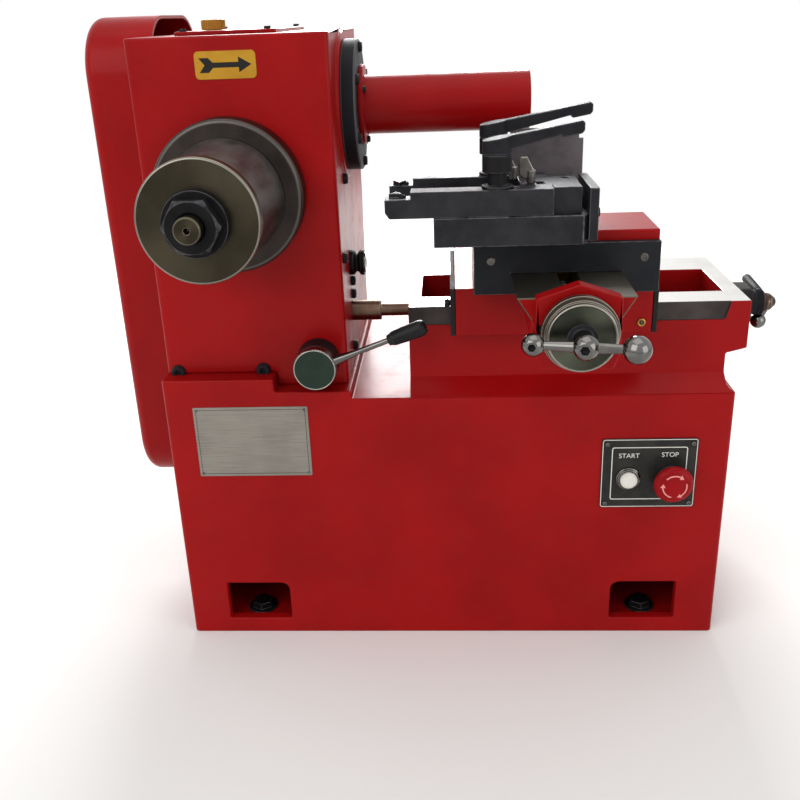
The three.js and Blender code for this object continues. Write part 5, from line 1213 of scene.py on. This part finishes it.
# Clamp lever: round head, straight arm that rises outward, and a thicker block at its tip
def dressLever(name):
    node = "clamp_lever_" + name
    (low, high), post = spanOf(node), middleOf("clamp_post_" + name)
    slope, top, end = toolSizes["armSlope"], low.z + toolSizes["hubHigh"], high.x
    edge, head, half, root = picked(toolSizes, "leverEdge hub armHalf rootHalf")
    rootThick, armThick, tipThick = picked(toolSizes, "armRoot armThick tipThick")
    tipStart = end - toolSizes["tipLong"]
    depths = [(post.x, -0.06), (post.x, rootThick), (post.x + head + 2, rootThick), (tipStart - 2, armThick),
              (tipStart, tipThick), (end - 2.2, tipThick), (end, tipThick - 2.0), (end, 2.0), (end - 2.0, -0.06)]
    outline = [(x, top + (x - post.x) * slope - depth) for x, depth in depths]
    work = prism(bmesh.new(), outline, "y", post.y - half, post.y + half, edge, 3)
    for vert in work.verts:
        share = min(max((vert.co.x - post.x) / (end - post.x), 0.0), 1.0)
        vert.co.y = post.y + (vert.co.y - post.y) * (1 + (root / half - 1) * (1 - share))
    arm = set(work.verts)
    turn(work, "z", [(low.z, head), (top, head)], (post.x, post.y, 0), edge, 64)
    for vert in work.verts:
        if vert not in arm and vert.co.z > low.z + 3:
            vert.co.z += (vert.co.x - post.x) * slope
    fit(weighted(objectFrom(node + "_dressed", work, satinBlack)), node, node)


def dressClamp(name):
    node = "clamp_post_" + name
    (low, high), middle = spanOf(node), middleOf(node)
    stud, washer, post, nut, tip = picked(toolSizes, "stud washer post nut postTop")
    seat = highOf("tool_bar_" + name).z
    nutLow = high.z - toolSizes["nutDown"] - toolSizes["nutHigh"]
    nutTop, under, over = nutLow + toolSizes["nutHigh"], seat + 0.3, seat + toolSizes["washerHigh"]
    turnedPiece(node + "_dressed", node, "z", [
        (low.z, stud), (under, stud), (under, washer), (over, washer), (over, post), (nutLow, post), (nutLow, nut),
        (nutTop, nut), (nutTop, tip), (high.z, tip)], (middle.x, middle.y, 0), black, node,
        ease=toolSizes["postEase"], sides=64)
    dressLever(name)


# Lock screw: points of its leaned leaf from the stud's foot, and heights and radii of the stud
lockSizes = {
    "leaf": [(-4.3, 3.0), (1.5, 8.2), (2.5, 11.1), (-3.0, 21.9), (-8.9, 21.9), (-10.4, 15.8), (-9.5, 5.8)],
    "half": 2.9, "edge": 1.1, "studIn": 5.4, "stud": [(0.0, 3.7), (4.6, 3.7), (4.6, 4.3), (10.2, 4.3), (11.0, 3.4)],
}


def dressLockScrew(name):
    node = "lock_screw_" + name
    low, high = spanOf(node)
    x, y, half = high.x - lockSizes["studIn"], (low.y + high.y) / 2, lockSizes["half"]
    outline = [(x + right, low.z + up) for right, up in lockSizes["leaf"]]
    work = prism(bmesh.new(), outline, "y", y - half, y + half, lockSizes["edge"], 3)
    turn(work, "z", shifted(low.z, lockSizes["stud"]), (x, y, 0), 0.4, 48)
    fit(weighted(objectFrom(node + "_dressed", work, greyStud, 50)), node, node)


print("dressing the tool slide")
dressToolSlide()

# Shift lever: hub, rim and rod leaned up to the right
leverSizes = {
    "lean": 20.4, "back": -129.3, "length": 35.5, "plugBack": -119.3, "plug": 8.0, "radius": 20.7, "groove": 11.0,
    "grooveWide": 1.2, "grooveDeep": 0.8, "rod": 2.75, "rodReach": 76.0, "rodFromFace": 7.0, "grip": 39.0,
}


def dressShiftLever():
    joint = next(j for j in frame["record"]["behaviour"]["joints"] if j["name"] == "shift_lever_swing")
    centre = Vector(joint["pos_m"]) / mm
    around = (centre.x, 0, centre.z)
    back, plug, radius, rod = picked(leverSizes, "back plug radius rod")
    front = back - leverSizes["length"]
    grooveStart, bottom = front + leverSizes["groove"], radius - leverSizes["grooveDeep"]
    grooveEnd = grooveStart + leverSizes["grooveWide"]
    hubGreen = turnedSteel("hubGreen", around, "y", srgb(28, 44, 36), srgb(42, 58, 48), 0.26, 0.9, 0.2, 0.7)
    rimSteel = turnedSteel("hubRim", around, "y", srgb(112, 108, 102), srgb(84, 80, 76), 0.16, 0.7, 0.2, along=True,
                           worn=srgb(196, 194, 188))
    faceShape = [(0.6, 3.0), (0.6, 19.0), (0, 19.4), (0, 19.9), (0.8, radius)]
    hub = turnedPiece("shift_hub", "shift_lever", "y", shifted(front, faceShape) + [
        (grooveStart, radius), (grooveStart, bottom), (grooveEnd, bottom), (grooveEnd, radius), (back, radius),
        (back, plug), (leverSizes["plugBack"], plug)], around, rimSteel, "shift_lever", ease=0.35, sides=96)

    def onFace(at, normal):
        return at.y < front + 1.5 and math.hypot(at.x - centre.x, at.z - centre.z) < 19.2

    recolour(hub, hubGreen, onFace)
    recolour(hub, black, lambda at, normal: at.y > front + 12)
    rodCentre = Vector((centre.x, front + leverSizes["rodFromFace"], centre.z))
    leaning = Matrix.Rotation(math.radians(-leverSizes["lean"]), 4, "Y")
    reach = leverSizes["rodReach"]

    def leaned(name, shape, finish, smoothAngle, *stoodFor, ease, sides, bore=None):
        work = bmesh.new()
        turn(work, "x", shifted(centre.x, shape), (0, rodCentre.y, centre.z), ease, sides, bore)
        item = objectFrom(name, work, finish, smoothAngle)
        item.data.transform(Matrix.Translation(rodCentre * mm) @ leaning @ Matrix.Translation(-rodCentre * mm))
        return fit(item, stoodFor[0] if stoodFor else "shift_lever", *stoodFor)

    leaned("shift_rod", [(4, 5.4), (21, 5.0), (44, rod), (reach + 19.5, rod)], chrome, 40.0, ease=0.3, sides=40)
    gripShape = [(0, 3.1), (0, 5.0), (3, 5.6), (5, 6.8), (12, 7.4), (28, 8.0), (34, 8.0), (37.4, 6.6),
                 (leverSizes["grip"], 4.4)]
    leaned("shift_grip_dressed", shifted(reach, gripShape), blackPlastic, 50, "shift_lever_grip", ease=1.4, sides=64,
           bore=rod + 0.03)


# Control panel, buttons and the plates
panelSizes = {
    "face": -151.6, "back": -150.0, "corner": 3.0, "borderInset": 0.7, "frameInset": 10.0, "frameLine": 0.9,
    "raised": 0.05, "screwInset": 5.2, "word": 7.0, "startX": 181.5, "stopX": 223.5, "buttonZ": 185.6, "bezel": 12.0,
    "bezelBore": 9.0,
    "collar": 14.0, "collarBore": 5.3, "headReach": 21.0, "head": 19.5,
}


# A flat frame line with rounded corners on the front of a plate
def frameLine(name, node, insetX, insetZ, y, width, radius, finish, thickness):
    low, high = spanOf(node)
    left, right, bottom, top = low.x + insetX, high.x - insetX, low.z + insetZ, high.z - insetZ
    outer = roundedOutline(left, right, bottom, top, radius)
    inner = roundedOutline(left + width, right - width, bottom + width, top - width, max(radius - width, 0.2))
    work = bmesh.new()
    bridged(work, [[work.verts.new((u, depth, v)) for u, v in outline] for depth, outline in
                   ((y, outer), (y - thickness, outer), (y - thickness, inner), (y, inner))])
    bmesh.ops.recalc_face_normals(work, faces=work.faces)
    return fit(objectFrom(name, work, finish), node)


def dressPanel():
    node, face, raised = "control_panel", panelSizes["face"], panelSizes["raised"]
    startX, stopX, z = picked(panelSizes, "startX stopX buttonZ")
    panelBlack = moulded("panelBlack", srgb(38, 38, 36), srgb(60, 59, 55), 0.3, 140.0, 0.25, 0.1, 0.1)
    prismPiece("panel_plate", node, cornerRound(node, panelSizes["corner"]), "y", face, panelSizes["back"],
               panelBlack, node, ease=0.35)
    inset = panelSizes["borderInset"]
    frameLine("panel_border", node, inset, inset, face, inset, 2.6, whiteInk, raised)
    inset = panelSizes["frameInset"]
    frameLine("panel_frame", node, inset, inset - 1, face, panelSizes["frameLine"], 2.4, whiteInk, raised)
    screws("panel_screws", node, frontCorners(node, panelSizes["screwInset"], face), "front", 2.5, 1.6, chrome)
    lettering("start_word", node, "START", panelSizes["word"], startX, face, z + 24.5, whiteInk)
    lettering("stop_word", node, "STOP", panelSizes["word"], stopX - 2, face, z + 25.4, whiteInk)
    bezel, collar = panelSizes["bezel"], panelSizes["collar"]
    bezelShape = [(-4, bezel - 2.2), (-3.6, bezel - 1.2), (-2.2, bezel - 1.0), (-1.8, bezel), (0.2, bezel)]
    turnedPiece("start_bezel", node, "y", shifted(face, bezelShape), (startX, 0, z), chrome, ease=0.3, sides=72,
                bore=panelSizes["bezelBore"])
    turnedPiece("stop_collar", node, "y", shifted(face, [(-3.5, collar - 1.2), (-2.4, collar), (0.2, collar)]),
                (stopX, 0, z), satinBlack, ease=0.4, sides=64, bore=panelSizes["collarBore"])


def dressButtons():
    startX, stopX, z, face = picked(panelSizes, "startX stopX buttonZ face")
    buttonShape = [(-6.6, 6.2), (-7.0, 7.4), (-6.2, 8.5), (-3.3, 8.5), (-3.3, 5.0), (8.6, 5.0)]
    turnedPiece("start_button_dressed", "start_button", "y", shifted(face, buttonShape), (startX, 0, z), whitePlastic,
                "start_button", ease=0.5, sides=72)
    softened("stop_plunger", 0.3, blackPlastic, steps=1)
    front = face - panelSizes["headReach"]
    headShape = [(0, 4.0), (0.3, 10.0), (1.2, 14.4), (2.9, 17.6), (5.2, 19.3), (6.8, panelSizes["head"]), (8.6, 18.9),
                 (10.4, 16.2), (12.4, 12.6), (13, 11.7)]
    turnedPiece("stop_head_dressed", "stop_button", "y", shifted(front, headShape), (stopX, 0, z), redPlastic,
                "stop_button", ease=0.9, sides=96)
    paleRed = moulded("arrowPale", srgb(232, 150, 146), srgb(220, 136, 132), 0.4)
    for index in range(3):
        twistArrow(index, stopX, z, front, headShape[:4], paleRed)


# Twist-to-release arrow, bent over the domed head; angles are in degrees and widths are halves
arrowSizes = {
    "start": 136, "apart": 120, "sweep": -72, "headLong": -20, "headHalf": 2.6, "tipHalf": 0.05, "radius": 11.6,
    "half": 0.65, "steps": 18, "raised": 0.14, "sunk": -0.15,
}


def twistArrow(index, x, z, front, dome, finish):
    start, sweep, steps = arrowSizes["start"] - arrowSizes["apart"] * index, arrowSizes["sweep"], arrowSizes["steps"]

    def depth(reach):
        for (d0, r0), (d1, r1) in zip(dome, dome[1:]):
            if reach <= r1:
                return front + d0 + (d1 - d0) * max(reach - r0, 0) / (r1 - r0)
        return front + dome[-1][0]

    def pair(angle, half, lift):
        reaches = (arrowSizes["radius"] - half, arrowSizes["radius"] + half)
        return [work.verts.new((x + reach * math.cos(angle), depth(reach) - lift, z + reach * math.sin(angle)))
                for reach in reaches]

    work = bmesh.new()
    rows = [(math.radians(start + sweep * step / steps), arrowSizes["half"]) for step in range(steps + 1)]
    rows += [(math.radians(start + sweep), arrowSizes["headHalf"]),
             (math.radians(start + sweep + arrowSizes["headLong"]), arrowSizes["tipHalf"])]
    top, bottom = ([pair(angle, half, arrowSizes[key]) for angle, half in rows] for key in ("raised", "sunk"))
    for i in range(len(rows) - 1):
        work.faces.new([top[i][0], top[i][1], top[i + 1][1], top[i + 1][0]])
        work.faces.new([bottom[i][0], bottom[i + 1][0], bottom[i + 1][1], bottom[i][1]])
        for side in (0, 1):
            work.faces.new([top[i][side], top[i + 1][side], bottom[i + 1][side], bottom[i][side]])
    for end in (0, -1):
        work.faces.new([top[end][0], top[end][1], bottom[end][1], bottom[end][0]])
    bmesh.ops.recalc_face_normals(work, faces=work.faces)
    fit(objectFrom(f"stop_arrow_{index}", work, finish, 60), "stop_button")


# Plates: the nameplate stays bare; the arrow's points are from the label's middle
labelSizes = {
    "corner": 1.2, "frameInset": 2.6, "frameLine": 0.5, "pinInset": 3.4, "arrowCorner": 4.0, "arrowRaised": 0.07,
    "arrow": [(-11.0, -2.2), (12.0, -2.2), (12.0, -6.6), (23.5, 0), (12.0, 6.6), (12.0, 2.2), (-11.0, 2.2),
              (-15.0, 6.2), (-23.5, 6.2), (-18.5, 0), (-23.5, -6.2), (-15.0, -6.2)],
}


def dressLabels():
    node = "nameplate"
    low, high = spanOf(node)
    outline = cornerRound(node, labelSizes["corner"], 3)
    prismPiece("nameplate_dressed", node, outline, "y", low.y, high.y, plateMetal, node)
    inset = labelSizes["frameInset"]
    frameLine("nameplate_frame", node, inset, inset, low.y, labelSizes["frameLine"], 1.2, engraved, 0.04)
    screws("nameplate_pins", node, frontCorners(node, labelSizes["pinInset"], low.y), "front", 1.5, 0.6, greyStud, 0.1)
    node = "arrow_label"
    (low, high), middle = spanOf(node), middleOf(node)
    outline = cornerRound(node, labelSizes["arrowCorner"])
    prismPiece("arrow_label_dressed", node, outline, "y", low.y, high.y, labelYellow, node)
    outline = [(middle.x + right, middle.z + up) for right, up in labelSizes["arrow"]]
    work = prism(bmesh.new(), outline, "y", low.y - labelSizes["arrowRaised"], low.y, 0)
    fit(objectFrom("arrow_mark", work, ink), node)


print("dressing the controls and plates")
dressShiftLever()
dressPanel()
dressButtons()
dressLabels()

# Stage: pale floor, soft lights and the photograph's camera; lamps list energy, size, place and height aimed at
stage = {
    "floor": srgb(240, 240, 238), "floorCloud": srgb(236, 236, 233), "floorSize": 9000.0, "near": 1.2, "far": 2.6,
    "ambient": 0.5, "lens": 42.24, "sensor": 36.0, "eye": (0.00936, -1.001105, 0.622),
    "right": (0.99821, 0.04794, -0.03568), "up": (0.01481, 0.38003, 0.92486), "forward": (-0.0579, 0.92373, -0.37864),
    "lamps": {"key": (34.0, 2.2, (-1.5, -2.0, 1.9), 0.3), "fill": (18.0, 1.8, (2.0, -1.6, 1.0), 0.3),
              "glare": (92.0, 1.3, (-0.25, 2.6, 1.45), 0.4), "top": (10.0, 1.8, (0.1, -0.2, 2.3), 0.3)},
}


# Mixes two shaders of a tree and sends the result to its output
def blended(tree, output, share, first, second):
    blend = tree.nodes.new("ShaderNodeMixShader")
    for index, source in enumerate((share, first, second)):
        tree.links.new(source, blend.inputs[index])
    tree.links.new(blend.outputs[0], tree.nodes[output].inputs[0])


# The floor fades to white for the camera, far from the machine
def makeFloor():
    finish = Finish("floorPale")
    tone = finish.noise(3.0, 3.0)
    finish.set(color=finish.mix(tone * 0.3, stage["floor"], stage["floorCloud"]), roughness=0.7, specular=0.2)
    work = bmesh.new()
    bmesh.ops.create_grid(work, x_segments=2, y_segments=2, size=stage["floorSize"])
    seen = finish.add("ShaderNodeLightPath", {}, {}, "Is Camera Ray")
    x, y, _ = finish.parts(finish.coords)
    far = ((x * x + y * y) ** 0.5).smooth(stage["near"], stage["far"])
    glow = finish.add("ShaderNodeEmission", {}, {"Color": (1.0, 1.0, 1.0)})
    blended(finish.tree, "Material Output", (seen * far).socket, finish.surface.outputs[0], glow.socket)
    return objectFrom("floor", work, finish.material)


# White for the camera, reflections and glass, and softer for the light it gives
def makeWorld(scene):
    world = bpy.data.worlds.new("studio")
    world.use_nodes = True
    scene.world = world
    tree = world.node_tree
    soft, white = tree.nodes["Background"], tree.nodes.new("ShaderNodeBackground")
    for shade, strength in ((soft, stage["ambient"]), (white, 1.0)):
        shade.inputs[0].default_value, shade.inputs[1].default_value = (1, 1, 1, 1), strength
    rays = tree.nodes.new("ShaderNodeLightPath").outputs
    share = rays["Is Camera Ray"]
    for kind in ("Is Glossy Ray", "Is Transmission Ray"):
        either = tree.nodes.new("ShaderNodeMath")
        either.operation = "MAXIMUM"
        tree.links.new(share, either.inputs[0])
        tree.links.new(rays[kind], either.inputs[1])
        share = either.outputs[0]
    blended(tree, "World Output", share, soft.outputs[0], white.outputs[0])


def makeLamps(scene):
    lamps = []
    for name, (energy, size, place, aim) in stage["lamps"].items():
        light = bpy.data.lights.new(name, "AREA")
        light.energy, light.size = energy, size
        lamp = bpy.data.objects.new(name, light)
        lamp.location = place
        lamp.rotation_euler = (Vector((0, 0, aim)) - Vector(place)).to_track_quat("-Z", "Y").to_euler()
        lamp.visible_camera = False
        scene.collection.objects.link(lamp)
        lamps.append(lamp)
    return lamps


def makeStage():
    scene = bpy.context.scene
    floor = makeFloor()
    makeWorld(scene)
    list(makeLamps(scene))
    lens = bpy.data.cameras.new("photoView")
    lens.lens, lens.sensor_width = stage["lens"], stage["sensor"]
    camera = bpy.data.objects.new("photoView", lens)
    right, up, forward = (Vector(row) for row in picked(stage, "right up forward"))
    turnIt = Matrix((right, up, -forward)).transposed().to_4x4()
    camera.matrix_world = Matrix.Translation(stage["eye"]) @ turnIt
    scene.collection.objects.link(camera)
    scene.camera = camera
    scene.view_settings.view_transform = "Standard"


print("setting the stage")
makeStage()
